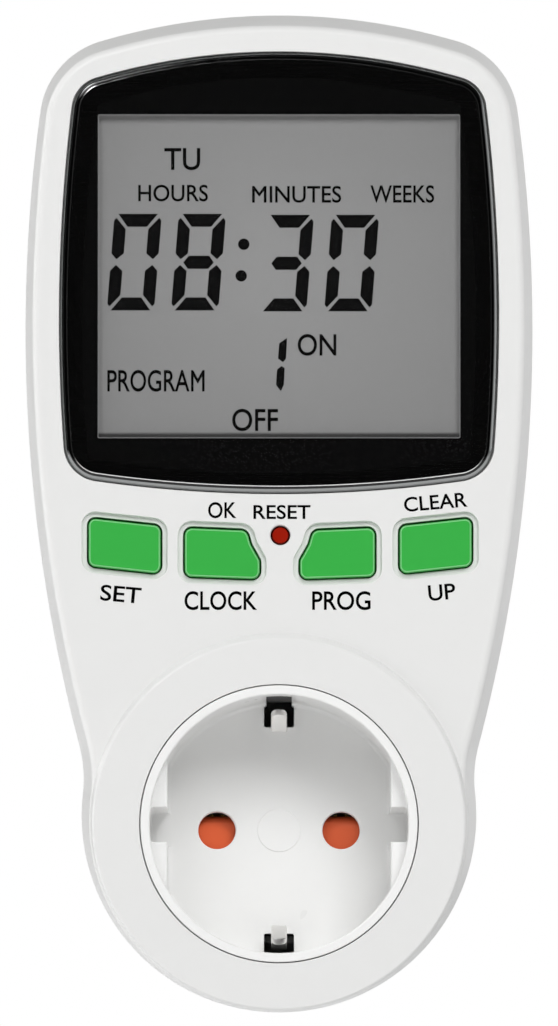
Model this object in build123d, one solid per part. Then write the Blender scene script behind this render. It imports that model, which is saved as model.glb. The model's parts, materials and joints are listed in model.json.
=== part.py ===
from build123d import *
import os
from math import sqrt

# Plug-in timer switch: an earthed 16 A plug at the back, an earthed outlet low in the front, and a
# clock with a liquid-crystal display and keys above it.  Millimetres.
#
# Frame: +Z up, +X right, and -Y out of the front face.  The origin is the centre of the plug's end
# face, midway between its two pins.  A "station" is a distance forward (towards -Y) of that face.

# ---- Plug at the back ------------------------------------------------------------------------
pin_pitch = 19.0
pin_r = 2.4
pin_length = 19.0
pin_tip = 1.4  # rounding of the pin's end
pin_root_r = 2.7  # where it passes through the plug's end wall
pin_collar_r = 3.6
pin_collar = 1.5
pin_tail_r = 1.8
pin_tail = 3.0
boss_r = 18.5
boss_flat = 16.7  # half-width across the two flats
boss_rib = 4.6  # width of the rib on each flat
boss_length = 17.0
boss_wall = 2.3
boss_end = 3.0
plug_strip_w = 5.0
plug_strip_t = 0.9
plug_strip_slot = 1.4  # depth of the slot that the strip lies in
plug_strip_start = 2.5  # the strip's end nearest the plug's face
plug_strip_end_gap = 0.5
earth_hole_offset = 10.0
earth_hole_r = 2.45
earth_hole_depth = 14.1
earth_sleeve_t = 0.55
earth_sleeve_start = 0.8
earth_well_t = 1.2

# ---- Outlet in the front ---------------------------------------------------------------------
recess_r = 19.7
recess_depth = 17.5
recess_wall = 1.5
floor_t = 2.0
guide_flat = 17.0  # half-distance between the two guide blocks
guide_setback = 2.5  # guide blocks stop this far behind the rim
keyway_w = 5.3
pin_hole_r = 2.85
centre_boss_r = 3.3
centre_boss_h = 0.3
flange_w = 2.2
flange_t = 1.5
ear_r = 2.5
clip_slot_w = 4.6
clip_slot_depth = 3.9  # the slot reaches this far inside the recess's wall
clip_slot_top = 1.6  # the slot stops this far behind the rim

# ---- Case ------------------------------------------------------------------------------------
case_depth = 39.0
half_width = 38.8
top_z = 124.1
widest_z = 76.5
foot_margin = 10.45  # from the recess's wall to the foot's outline
foot_rise = 1.95  # height of the foot's centre at the parting line
waist_r = 20.0
flank_foot_z = 11.3  # where the flank's circle comes in as far as the foot's radius
shoulder_r = 13.0
crown_r = 96.0
front_skirt = 10.0  # from the parting line to the main face
front_side_draft = 1.3
front_top_draft = 2.65
front_foot_draft = -0.2
rear_draft = 1.6
front_edge_r = 1.0
rear_edge_r = 2.5
ring_step = 1.2
ring_w = 8.65  # from the recess's wall to the edge of the ring's face
ring_inset = 0.15  # the ring's root stands this far inside the face's outline
wall = 2.0
face_t = 2.6
lap_height = 2.0
lap_skin = 1.0
lap_gap = 0.1

# ---- Display ---------------------------------------------------------------------------------
lens_side = 5.55  # from the case's side to the lens's edge, at the widest
lens_top_z = 117.45
lens_bottom_z = 50.45
lens_crown_r = 100.0
lens_sole_r = 190.0
lens_corner_r = 4.2
lens_t = 1.6
lens_edge = 0.8  # width of the chamfer round the lens
lens_edge_h = 0.5
lens_gap = 0.15
tape_t = 0.2
tape_w = 2.4
lens_pocket = 1.6
window_side = 5.65  # from the lens's edge to the window
window_bottom_z = 58.85
window_top_z = 108.1
window_gap = 0.3
glass_margin = 2.1  # the front glass reaches this far past the window
glass_t = 1.1
glass_ledge = 2.4
polariser_t = 0.2
polariser_margin = 1.3
reflector_t = 0.25
display_gap = 0.05
zebra_w = 2.0
frame_wall = 1.3
frame_gap = 0.15
frame_lip = 1.6
frame_lip_t = 1.2

# ---- Keys ------------------------------------------------------------------------------------
# Outlines of the two left-hand keys, as (x, z, corner radius), in a case of the half-width that
# key_row_half_width gives; a wider case spreads them.  The right-hand keys mirror them.
key_row_half_width = 38.8
outer_key = [(-29.1, 46.75, 1.1), (-18.0, 45.7, 1.1), (-18.0, 38.05, 1.1), (-29.1, 39.1, 1.1)]
inner_key = [
    (-14.5, 45.35, 1.1),
    (-4.5, 45.0, 1.0),
    (-3.75, 42.4, 2.6),
    (-2.75, 40.7, 1.2),
    (-2.75, 37.3, 1.1),
    (-14.5, 37.75, 1.1),
]
key_gap = 0.22
key_proud = 0.3
key_edge_r = 0.35
key_border = 0.85
key_border_depth = 0.35
key_flange = 0.8
key_flange_t = 1.0
key_flange_gap = 0.2
key_travel = 0.5
key_post_r = 1.9
outer_key_at = (-23.5, 42.4)
inner_key_at = (-8.9, 41.3)
reset_z = 44.0
reset_r = 1.3
reset_gap = 0.15
reset_sunk = 0.5
reset_flange_r = 2.0
switch_size = 6.0
switch_height = 3.5
plunger_r = 1.7
plunger_gap = 0.05
plunger_out = 0.9
plunger_root = 2.2  # length inside the switch's body

# ---- Boards ----------------------------------------------------------------------------------
board_t = 1.6
logic_side_margin = 0.45  # the board reaches this far past the display frame
logic_top_margin = 4.35
logic_bottom_z = 31.0
logic_corner = 7.0
logic_standoff = 6.2  # from the front shell's inner face to the board
logic_post_side = 9.6  # post centres lie this far inside the board's sides
logic_post_edge = 2.0  # and this far inside its ends
logic_post_r = 2.0
power_side = 8.8  # from the case's side to the board's edge
power_bottom_z = 28.0
power_top_z = 106.0
power_standoff = 2.5
power_post_edge = 3.5
power_post_r = 2.6
board_screw_r = 1.1
board_screw_head_r = 2.0
board_screw_head = 1.2
board_screw_bite = 4.0
screw_gap = 0.05

# ---- Parts on the boards ---------------------------------------------------------------------
chip_drop_at = (0.0, 84.0)
chip_drop_r = 6.0
chip_drop_h = 1.6
chip_drop_edge = 1.2
crystal_at = (13.0, 84.0)
crystal_r = 1.0
crystal_length = 6.0
cell_side = 15.6  # the cell's centre lies this far inside the board's side
cell_z = 80.0
cell_r = 7.75
cell_t = 6.0
tab_t = 0.5
tab_w = 4.0
small_chip = (2.0, 1.2, 0.6)
small_chip_rows = [(9.0, 72.0), (13.5, 72.0), (18.0, 72.0), (9.0, 66.0), (13.5, 66.0), (18.0, 66.0)]
box_corner_r = 0.6  # of the boxed parts
relay_at = (13.5, 47.5)
relay_size = (19.6, 15.6, 15.5)
film_cap_at = (-16.0, 52.0)
film_cap_size = (18.0, 8.5, 14.5)
smoothing_cap_at = (15.0, 74.0)
smoothing_cap_r = 5.0
smoothing_cap_h = 16.0
varistor_at = (-20.0, 66.0)
varistor_r = 5.0
varistor_t = 4.0
varistor_lift = 1.5
lead_r = 0.4
resistor_at = (17.0, 35.0)
resistor_r = 1.9
resistor_length = 9.0
diode_z = 92.0
diode_x = [-16.0, -11.5, -7.0, -2.5]
diode_r = 1.35
diode_length = 4.6
fuse_at = (-12.5, 37.5)
fuse_r = 2.3
fuse_cap_r = 2.6
fuse_cap = 5.0
fuse_length = 20.0
header_at = (11.5, 99.5)
header_pins = 6
header_spacing = 2.54
header_w = 2.5
header_h = 2.5
link_pin_w = 0.64

# ---- Contacts, shutter and busbars -----------------------------------------------------------
shutter_gap = 0.3
shutter_t = 1.8
shutter_hub_r = 4.2
shutter_lobe_r = 3.45
shutter_arm_w = 5.0
pivot_r = 1.6
pivot_gap = 0.06
pivot_hole_depth = 1.0
pivot_end_gap = 0.3
carrier_inset = 1.6  # the carrier's flange is this much smaller than the insert
carrier_flange_t = 3.0
carrier_clear = 3.0  # from the rear shell's inner face to the towers' rear ends
tower_r = 5.2
carrier_screw_at = [(12.5, 12.5), (-12.5, -12.5)]
carrier_screw_r = 1.25
carrier_screw_head_r = 2.4
carrier_screw_head = 1.7
carrier_boss_r = 2.6
contact_r = 2.43
contact_t = 0.9
contact_slot = 1.2
contact_gap = 0.2
contact_front_wall = 1.2
contact_foot_t = 0.8
contact_foot_w = 8.0
spring_foot_inset = 7.0  # from the carrier's edge
spring_foot = 1.2  # side of the square foot that stands in the carrier
spring_t = 0.3
spring_reach = 2.0  # depth of the foot in the carrier
spring_notch = 0.9  # depth of the notch in the shutter's hub
spring_side_gap = 0.2
strap_w = 4.0
link_plate = 4.0  # height of the earth link's two riveted ends
clip_w = 2.5
strap_t = 0.9
clip_root_inset = 2.7  # the clips' radii, measured inwards from the recess's wall
clip_belly_inset = 5.1
clip_tip_inset = 2.5
clip_belly_depth = 12.8  # behind the rim
clip_tip_depth = 8.4
busbar_t = 0.8
busbar_w = 4.0
busbar_drop = 5.0  # the pins' busbars run this far above or below the pin axis
live_bar_shift = 3.0  # sideways, to keep it off the switched busbar
live_bar_air = 0.5
neutral_bar_air = 0.5  # between its plate and a mated pin

# ---- Case and insert screws ------------------------------------------------------------------
top_screw_z = 116.8
low_screw_out = 5.1  # sideways from the recess's wall
low_screw_up = 0.8
case_post_r = 3.4
case_boss_r = 2.8
case_screw_r = 1.45
case_screw_head_r = 2.6
case_screw_head = 2.0
case_screw_bite = 6.0
case_post_floor = 3.0
case_post_gap = 0.1
counterbore_gap = 0.3
insert_screw_r = 1.1
insert_screw_head_r = 2.0
insert_screw_head = 1.2
insert_screw_bite = 2.6
insert_ear_out = 2.8  # ear centres lie this far outside the insert

# ---- Sizes and stations worked out from the above --------------------------------------------
foot_r = recess_r + foot_margin
bottom_z = foot_rise - foot_r
flank_sag = half_width - foot_r
flank_fall = widest_z - flank_foot_z
flank_r = (flank_fall**2 + flank_sag**2) / (2 * flank_sag)
ring_face_r = recess_r + ring_w
lens_half_width = half_width - lens_side
window_half_width = lens_half_width - window_side
power_half_width = half_width - power_side
key_spread = half_width / key_row_half_width
back = boss_length
ring_front = back + case_depth
face = ring_front - ring_step
parting = face - front_skirt
face_inner = face - face_t
recess_floor = ring_front - recess_depth
floor_back = recess_floor - floor_t
shutter_front = floor_back - shutter_gap
shutter_back = shutter_front - shutter_t
carrier_front = shutter_back - shutter_gap
carrier_flange_back = carrier_front - carrier_flange_t
rear_inner = back + wall
carrier_back = rear_inner + carrier_clear
power_back = rear_inner + power_standoff
power_front = power_back + board_t
logic_station = face_inner - logic_standoff
logic_back = logic_station - board_t
insert_r = recess_r + recess_wall
flange_r = insert_r + flange_w
carrier_r = insert_r - carrier_inset
spring_foot_z = spring_foot_inset - carrier_r
low_screw_x = recess_r + low_screw_out
low_screw_z = recess_r + low_screw_up
clip_slot_inner_r = recess_r - clip_slot_depth
socket_hole_r = insert_r + lap_gap
key_front = face + key_proud
key_flange_front = face_inner - key_flange_gap
key_flange_back = key_flange_front - key_flange_t
switch_front = logic_station + switch_height
plunger_tip = switch_front + plunger_out
pin_x = pin_pitch / 2
strip_slot_start = plug_strip_start - plug_strip_end_gap
pivot_hole_end = carrier_front - pivot_hole_depth - pivot_end_gap
pin_tail_end = boss_end + pin_collar + pin_tail
bar_back = boss_end + pin_collar
bar_front = bar_back + busbar_t
frame_margin = glass_margin + frame_gap + frame_wall
logic_half_width = window_half_width + frame_margin + logic_side_margin
logic_post_x = logic_half_width - logic_post_side
cell_at = (cell_side - logic_half_width, cell_z)
logic_top_z = window_top_z + frame_margin + logic_top_margin
case_screws_at = [(0.0, top_screw_z), (-low_screw_x, low_screw_z), (low_screw_x, low_screw_z)]
diagonal = (insert_r + insert_ear_out) / sqrt(2)
insert_screws_at = [(x, z) for x in (-diagonal, diagonal) for z in (-diagonal, diagonal)]
logic_posts = [
    (x, z)
    for x in (-logic_post_x, logic_post_x)
    for z in (logic_bottom_z + logic_post_edge, logic_top_z - logic_post_edge)
]
power_post_x = power_half_width - power_post_edge
power_posts = [
    (x, z)
    for x in (-power_post_x, power_post_x)
    for z in (power_bottom_z + power_post_edge, power_top_z - power_post_edge)
]


# ---- Helpers ---------------------------------------------------------------------------------
touch = 0.01  # tolerance for picking the edges at a station


def at(station):
    """The front-view plane at a station; its local x and y are the part's X and Z."""
    return Plane.XZ.offset(station)


def slab(outline, start, end):
    """A front-view outline made solid from one station to another."""
    return extrude(at(start) * outline, end - start, dir=(0, -1, 0))


def edges_at(solid, station):
    """The solid's edges that lie at a station."""
    return solid.edges().filter_by_position(Axis.Y, -station - touch, -station + touch)


def rod(place, radius, start, end):
    return slab(Pos(*place) * Circle(radius), start, end)


def block(x_range, z_range, start, end):
    width = x_range[1] - x_range[0]
    height = z_range[1] - z_range[0]
    middle = Pos((x_range[0] + x_range[1]) / 2, (z_range[0] + z_range[1]) / 2)
    return slab(middle * Rectangle(width, height), start, end)


def centred_block(place, width, height, start, end):
    return slab(Pos(*place) * Rectangle(width, height), start, end)


def crossing(centre_a, reach_a, centre_b, reach_b, near):
    """Of the two points at both reaches from the two centres, the one closer to near."""
    apart = centre_b - centre_a
    along = (reach_a**2 - reach_b**2 + apart.length**2) / (2 * apart.length)
    across = sqrt(reach_a**2 - along**2)
    unit = apart.normalized()
    foot = centre_a + unit * along
    side = Vector(-unit.Y, unit.X) * across
    return min((foot + side, foot - side), key=lambda point: (point - near).length)


def reach(centre, towards, radius):
    return centre + (towards - centre).normalized() * radius


def minor_arc(start, end, centre):
    radius = (start - centre).length
    return ThreePointArc(start, reach(centre, (start + end) / 2, radius), end)


def mirrored(point):
    return Vector(-point.X, point.Y)


def case_outline(side_draft, top, bottom, inset=0.0):
    """Front view of the case: round foot, short waist, bowed flanks, shoulders and bowed crown.

    side_draft narrows it from its widest, top and bottom are its highest and lowest points, and
    inset moves the whole outline inwards by a wall.
    """
    shrink = side_draft + inset
    foot = Vector(0, bottom + foot_r - side_draft)
    flank = Vector(half_width - flank_r, widest_z)
    crown = Vector(0, top - crown_r + side_draft)
    foot_now = foot_r - shrink
    waist_now = waist_r + shrink
    flank_now = flank_r - shrink
    shoulder_now = shoulder_r - shrink
    crown_now = crown_r - shrink
    waist = crossing(foot, foot_now + waist_now, flank, flank_now + waist_now, Vector(half_width, 0))
    shoulder = crossing(
        flank, flank_now - shoulder_now, crown, crown_now - shoulder_now, Vector(half_width, top)
    )
    a = reach(foot, waist, foot_now)
    b = reach(flank, waist, flank_now)
    c = reach(flank, shoulder, flank_now)
    d = reach(crown, shoulder, crown_now)
    edges = [
        minor_arc(a, b, waist),
        minor_arc(b, c, flank),
        minor_arc(c, d, shoulder),
        minor_arc(d, mirrored(d), crown),
        minor_arc(mirrored(d), mirrored(c), mirrored(shoulder)),
        minor_arc(mirrored(c), mirrored(b), mirrored(flank)),
        minor_arc(mirrored(b), mirrored(a), mirrored(waist)),
        ThreePointArc(mirrored(a), foot - Vector(0, foot_now), a),
    ]
    return make_face(edges)


def case_at(station, inset=0.0):
    """The case's outline at a station, with the draft of the shell that the station lies in."""
    if station >= parting:
        share = (station - parting) / front_skirt
        top = top_z - front_top_draft * share
        bottom = bottom_z + front_foot_draft * share
        return case_outline(front_side_draft * share, top, bottom, inset)
    share = (parting - station) / (parting - back)
    draft = rear_draft * share
    return case_outline(draft, top_z - draft, bottom_z + draft, inset)


def case_block(start, end, inset=0.0):
    """The space inside the case's drafted sides between two stations of one shell."""
    return loft([at(start) * case_at(start, inset), at(end) * case_at(end, inset)], ruled=True)


def lens_outline(inset=0.0):
    """Front view of the lens: flanks that follow the case, a bowed crown and a bowed sole."""
    flank = Vector(half_width - flank_r, widest_z)
    flank_now = flank_r - (half_width - lens_half_width) - inset
    crown = Vector(0, lens_top_z - lens_crown_r)
    sole = Vector(0, lens_bottom_z + lens_sole_r)
    crown_now = lens_crown_r - inset
    sole_now = lens_sole_r - inset
    corner = lens_corner_r - inset
    upper = crossing(flank, flank_now - corner, crown, crown_now - corner, Vector(half_width, top_z))
    lower = crossing(flank, flank_now - corner, sole, sole_now - corner, Vector(half_width, 0))
    a = reach(sole, lower, sole_now)
    b = reach(flank, lower, flank_now)
    c = reach(flank, upper, flank_now)
    d = reach(crown, upper, crown_now)
    edges = [
        minor_arc(a, b, lower),
        minor_arc(b, c, flank),
        minor_arc(c, d, upper),
        minor_arc(d, mirrored(d), crown),
        minor_arc(mirrored(d), mirrored(c), mirrored(upper)),
        minor_arc(mirrored(c), mirrored(b), mirrored(flank)),
        minor_arc(mirrored(b), mirrored(a), mirrored(lower)),
        minor_arc(mirrored(a), a, sole),
    ]
    return make_face(edges)


def key_outline(corners, side):
    """A key's outline from its left-hand corners; side is -1 on the left and 1 on the right."""
    points = [Vector(-side * key_spread * x, z) for x, z, _ in corners]
    outline = make_face(Polyline(*points, close=True))
    for point, (_, _, radius) in zip(points, corners):
        corner = outline.vertices().sort_by_distance(Vector(point.X, point.Y, 0))[0]
        outline = fillet(corner, radius)
    return outline


def grown(outline, amount):
    return offset(outline, amount, kind=Kind.ARC)


def window_block(margin, start, end, trim=0.0):
    """A block round the display's window; trim takes it in at the top and bottom only."""
    half = window_half_width + margin
    return block(
        (-half, half), (window_bottom_z - margin + trim, window_top_z + margin - trim), start, end
    )


def outline_of_boss(inset=0.0):
    """Section of the plug: a circle with two flats, and a rib on each flat."""
    round_part = Circle(boss_r - inset) & Rectangle(2 * (boss_flat - inset), 3 * boss_r)
    rib = Rectangle(2 * boss_r, boss_rib) & Circle(boss_r)
    return round_part + rib if inset == 0 else round_part


parts = {}
key_sets = {
    "set": (outer_key, -1, outer_key_at),
    "clock": (inner_key, -1, inner_key_at),
    "program": (inner_key, 1, inner_key_at),
    "up": (outer_key, 1, outer_key_at),
}


def switch_place(name):
    """Centre of the switch behind a key, or behind the reset button."""
    if name == "reset":
        return (0.0, reset_z)
    _, side, place = key_sets[name]
    return (-side * key_spread * place[0], place[1])


switch_names = list(key_sets) + ["reset"]


# ---- Case ------------------------------------------------------------------------------------
def front_shell():
    shell = case_block(parting, face)
    shell = fillet(edges_at(shell, face), front_edge_r)
    foot_centre = bottom_z + front_foot_draft + foot_r - front_side_draft
    plinth_r = foot_r - front_side_draft - ring_inset
    plinth = Pos(0, foot_centre) * Circle(plinth_r)
    shell += slab(plinth, face - 2 * front_edge_r, face)
    shell += loft([at(face) * plinth, at(ring_front) * Circle(ring_face_r)], ruled=True)
    shell -= case_block(parting, face_inner, wall)
    shell -= case_block(parting, parting + lap_height, lap_skin)
    for place in case_screws_at:
        shell += rod(place, case_boss_r, parting, face_inner)
    for place in logic_posts:
        shell += rod(place, logic_post_r, logic_station, face_inner)
    shell -= rod((0, 0), socket_hole_r, parting, ring_front)
    shell -= slab(lens_outline(-lens_gap), face - lens_pocket, face)
    shell -= window_block(window_gap, face_inner, face)
    for corners, side, _ in key_sets.values():
        outline = key_outline(corners, side)
        shell -= slab(grown(outline, key_gap), face_inner, face)
        shell -= slab(grown(outline, key_border), face - key_border_depth, face)
    shell -= rod((0, reset_z), reset_r + reset_gap, face_inner, face)
    bite = case_screw_bite + screw_gap
    for place in case_screws_at:
        shell -= rod(place, case_screw_r + screw_gap, parting, parting + bite)
    for place in logic_posts:
        shell -= rod(place, board_screw_r + screw_gap, logic_station, face_inner)
    for place in insert_screws_at:
        bite = insert_screw_bite + screw_gap
        shell -= rod(place, insert_screw_r + screw_gap, face_inner, face_inner + bite)
    return shell


def rear_shell():
    shell = case_block(back, parting)
    shell = fillet(edges_at(shell, back), rear_edge_r)
    shell -= case_block(rear_inner, parting, wall)
    lip = case_block(parting, parting + lap_height - lap_gap, lap_skin + lap_gap)
    lip -= case_block(parting, parting + lap_height, wall)
    for place in case_screws_at:
        lip -= rod(place, case_boss_r + lap_gap, parting, parting + lap_height)
    shell += lip
    for place in case_screws_at:
        shell += rod(place, case_post_r, back, parting - case_post_gap)
    for place in power_posts:
        shell += rod(place, power_post_r, rear_inner, power_back)
    shell += slab(outline_of_boss(), 0, back)
    hollow = slab(outline_of_boss(boss_wall), boss_end, rear_inner)
    sleeve_r = earth_hole_r + earth_sleeve_t
    well = rod((0, earth_hole_offset), sleeve_r + earth_well_t, 0, earth_hole_depth)
    shell -= hollow - well
    shell -= rod((0, earth_hole_offset), sleeve_r, 0, earth_hole_depth)
    for side in (-1, 1):
        shell -= rod((side * pin_x, 0), pin_root_r + screw_gap, 0, boss_end)
        outer = side * boss_r
        inner = side * (boss_r - plug_strip_slot)
        half = plug_strip_w / 2 + lap_gap
        shell -= block((-half, half), sorted((inner, outer + side)), strip_slot_start, back)
        inside = side * (boss_r - 2 * boss_wall)
        window = earth_hole_depth - lap_gap
        shell -= block((-half, half), sorted((inside, outer)), window, back)
    for place in case_screws_at:
        floor = parting - case_post_gap - case_post_floor
        shell -= rod(place, case_screw_head_r + counterbore_gap, back, floor)
        shell -= rod(place, case_screw_r + screw_gap, floor, parting)
    for place in power_posts:
        bite = board_screw_r + screw_gap
        shell -= rod(place, bite, rear_inner - wall / 2, power_back)
    return shell


def socket_insert():
    cup = rod((0, 0), insert_r, floor_back, ring_front)
    cup += rod((0, 0), flange_r, face_inner - flange_t, face_inner)
    for place in insert_screws_at:
        cup += rod(place, ear_r, face_inner - flange_t, face_inner)
    cup -= rod((0, 0), recess_r, recess_floor, ring_front)
    guides = Circle(recess_r + recess_wall / 2) - Rectangle(2 * guide_flat, 3 * recess_r)
    guides -= Rectangle(3 * recess_r, keyway_w)
    cup += slab(guides, recess_floor, ring_front - guide_setback)
    cup += rod((0, 0), centre_boss_r, recess_floor, recess_floor + centre_boss_h)
    cup += rod((0, 0), pivot_r, carrier_front - pivot_hole_depth, floor_back)
    for place in carrier_screw_at:
        cup += rod(place, carrier_boss_r, carrier_front, floor_back)
        cup -= rod(place, carrier_screw_r + screw_gap, carrier_front, floor_back + floor_t / 2)
    for side in (-1, 1):
        cup -= rod((side * pin_x, 0), pin_hole_r, floor_back, recess_floor)
        slot = sorted((side * clip_slot_inner_r, side * (insert_r - recess_wall / 2)))
        half = clip_slot_w / 2
        cup -= block((-half, half), slot, floor_back, ring_front - clip_slot_top)
    for place in insert_screws_at:
        cup -= rod(place, insert_screw_r + screw_gap, face_inner - flange_t, face_inner)
    return cup


parts["front_shell"] = front_shell()
parts["rear_shell"] = rear_shell()
parts["socket_insert"] = socket_insert()


# ---- Display ---------------------------------------------------------------------------------
def display():
    tape_back = face - lens_pocket
    lens_back = tape_back + tape_t
    lens_front = lens_back + lens_t
    lens = slab(lens_outline(), lens_back, lens_front)
    rim = edges_at(lens, lens_front)
    parts["display_lens"] = chamfer(rim, lens_edge_h, lens_edge)
    tape = slab(lens_outline(lens_edge), tape_back, lens_back)
    tape -= slab(lens_outline(lens_edge + tape_w), tape_back, lens_back)
    parts["lens_adhesive"] = tape

    polariser_front = face_inner - display_gap
    front_glass = polariser_front - polariser_t
    rear_glass = front_glass - glass_t
    reflector = rear_glass - glass_t
    parts["display_polariser"] = window_block(polariser_margin, front_glass, polariser_front)
    parts["display_front_glass"] = window_block(glass_margin, rear_glass, front_glass)
    parts["display_rear_glass"] = window_block(glass_margin, reflector, rear_glass, glass_ledge)
    parts["display_reflector"] = window_block(
        polariser_margin, reflector - reflector_t, reflector, glass_ledge
    )

    inner = glass_margin + frame_gap
    outer = inner + frame_wall
    frame = window_block(outer, logic_station, front_glass)
    frame -= window_block(inner, logic_station, front_glass)
    lip_front = reflector - reflector_t
    for side in (-1, 1):
        reach_x = window_half_width + inner
        lip = sorted((side * reach_x, side * (reach_x - frame_lip)))
        lip_z = (window_bottom_z - inner, window_top_z + inner)
        frame += block(lip, lip_z, lip_front - frame_lip_t, lip_front)
    parts["display_frame"] = frame

    half = window_half_width + glass_margin - frame_lip - frame_gap
    low = window_bottom_z - glass_margin
    high = window_top_z + glass_margin
    zebra = [
        block((-half, half), (low, low + zebra_w), logic_station, rear_glass),
        block((-half, half), (high - zebra_w, high), logic_station, rear_glass),
    ]
    parts["zebra_strips"] = Compound(zebra)


display()


# ---- Keys ------------------------------------------------------------------------------------
def key(corners, side, place):
    outline = key_outline(corners, side)
    cap = slab(outline, key_flange_back, key_front)
    cap = fillet(edges_at(cap, key_front), key_edge_r)
    cap += slab(grown(outline, key_flange), key_flange_back, key_flange_front)
    return cap + rod(place, key_post_r, plunger_tip, key_flange_back)


def plunger(place):
    return rod(place, plunger_r, switch_front - plunger_root, plunger_tip)


def keys():
    for name, (corners, side, _) in key_sets.items():
        parts[f"{name}_key"] = key(corners, side, switch_place(name))
    button = rod((0, reset_z), reset_r, key_flange_back, face - reset_sunk)
    button += rod((0, reset_z), reset_flange_r, key_flange_back, key_flange_front)
    parts["reset_button"] = button + rod((0, reset_z), reset_r, plunger_tip, key_flange_back)
    bodies = []
    for name in switch_names:
        place = switch_place(name)
        body = centred_block(place, switch_size, switch_size, logic_station, switch_front)
        well = switch_front - plunger_root - key_travel - plunger_gap
        body -= rod(place, plunger_r + plunger_gap, well, switch_front)
        bodies.append(body)
        parts[f"{name}_plunger"] = plunger(place)
    parts["key_switches"] = Compound(bodies)


keys()


# ---- Boards ----------------------------------------------------------------------------------
def header_places():
    middle = (header_pins - 1) / 2
    return [(header_at[0] + (i - middle) * header_spacing, header_at[1]) for i in range(header_pins)]


def logic_board():
    half = logic_half_width
    points = [
        (-half, logic_bottom_z),
        (half, logic_bottom_z),
        (half, logic_top_z - logic_corner),
        (half - logic_corner, logic_top_z),
        (logic_corner - half, logic_top_z),
        (-half, logic_top_z - logic_corner),
    ]
    board = slab(make_face(Polyline(*points, close=True)), logic_back, logic_station)
    notch = case_post_r + counterbore_gap
    board -= block((-notch, notch), (top_screw_z - notch, top_z), logic_back, logic_station)
    for place in logic_posts:
        board -= rod(place, board_screw_r + screw_gap, logic_back, logic_station)
    for place in header_places():
        board -= centred_block(
            place, link_pin_w + lap_gap, link_pin_w + lap_gap, logic_back, logic_station
        )
    return board


def power_board():
    half = power_half_width
    board = block((-half, half), (power_bottom_z, power_top_z), power_back, power_front)
    for place in power_posts:
        board -= rod(place, board_screw_r + screw_gap, power_back, power_front)
    for place in header_places():
        board -= centred_block(
            place, link_pin_w + lap_gap, link_pin_w + lap_gap, power_back, power_front
        )
    return board


def logic_parts():
    drop = rod(chip_drop_at, chip_drop_r, logic_back - chip_drop_h, logic_back)
    rim = drop.edges().sort_by(Axis.Y)[-1]
    parts["controller_drop"] = fillet(rim, chip_drop_edge)
    x, z = crystal_at
    centre = Location((x, -(logic_back - crystal_r), z), (0, 90, 0))
    parts["clock_crystal"] = centre * Cylinder(crystal_r, crystal_length)
    cell_front = logic_back - tab_t
    cell_back = cell_front - cell_t
    cell = rod(cell_at, cell_r, cell_back, cell_front)
    parts["backup_cell"] = fillet(cell.edges(), cell_t / 6)
    x, z = cell_at
    half = tab_w / 2
    reach_z = cell_r + tab_w / 2
    front_tab = block((x - half, x + half), (z - reach_z, z), cell_front, logic_back)
    leg_z = z + cell_r + 2 * tab_t
    rear_tab = block((x - half, x + half), (z, leg_z), cell_back - tab_t, cell_back)
    rear_tab += block((x - half, x + half), (leg_z - tab_t, leg_z), cell_back - tab_t, logic_back)
    parts["cell_tabs"] = Compound([front_tab, rear_tab])
    width, height, depth = small_chip
    chips = [
        centred_block(place, width, height, logic_back - depth, logic_back)
        for place in small_chip_rows
    ]
    parts["small_chips"] = Compound(chips)


def box_part(place, size):
    width, height, depth = size
    body = centred_block(place, width, height, power_front, power_front + depth)
    return fillet(body.edges().filter_by(Axis.Y), box_corner_r)


def lying(place, radius, length, lift, turned=(0, 90, 0)):
    """A cylinder that lies on the power board, along X unless turned another way."""
    x, z = place
    return Location((x, -(power_front + lift), z), turned) * Cylinder(radius, length)


def power_parts():
    parts["relay"] = box_part(relay_at, relay_size)
    parts["film_capacitor"] = box_part(film_cap_at, film_cap_size)
    can = rod(smoothing_cap_at, smoothing_cap_r, power_front, power_front + smoothing_cap_h)
    parts["smoothing_capacitor"] = fillet(can.edges(), smoothing_cap_r / 8)
    disc_lift = varistor_lift + varistor_r
    disc = lying(varistor_at, varistor_r, varistor_t, disc_lift, (0, 0, 0))
    x, z = varistor_at
    for side in (-1, 1):
        lead = (x + side * varistor_r / 2, z)
        disc += rod(lead, lead_r, power_front, power_front + disc_lift)
    parts["varistor"] = disc
    parts["dropper_resistor"] = lying(resistor_at, resistor_r, resistor_length, resistor_r)
    diodes = [lying((x, diode_z), diode_r, diode_length, diode_r, (0, 0, 0)) for x in diode_x]
    parts["rectifier_diodes"] = Compound(diodes)
    tube_length = fuse_length - 2 * fuse_cap
    parts["fuse_tube"] = lying(fuse_at, fuse_r, tube_length, fuse_cap_r)
    caps = []
    for side in (-1, 1):
        x = fuse_at[0] + side * (fuse_length - fuse_cap) / 2
        caps.append(lying((x, fuse_at[1]), fuse_cap_r, fuse_cap, fuse_cap_r))
    parts["fuse_caps"] = Compound(caps)


def board_link():
    """Header strips on the two boards and the square pins that join them."""
    length = header_pins * header_spacing
    hole = link_pin_w + lap_gap
    strips = [
        centred_block(header_at, length, header_w, power_front, power_front + header_h),
        centred_block(header_at, length, header_w, logic_back - header_h, logic_back),
    ]
    holed = []
    for strip in strips:
        for place in header_places():
            strip -= centred_block(place, hole, hole, power_front, logic_back)
        holed.append(strip)
    parts["link_headers"] = Compound(holed)
    start = power_back
    pins = [
        centred_block(place, link_pin_w, link_pin_w, start, logic_station)
        for place in header_places()
    ]
    parts["link_pins"] = Compound(pins)


parts["logic_board"] = logic_board()
parts["power_board"] = power_board()
logic_parts()
power_parts()
board_link()


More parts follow.
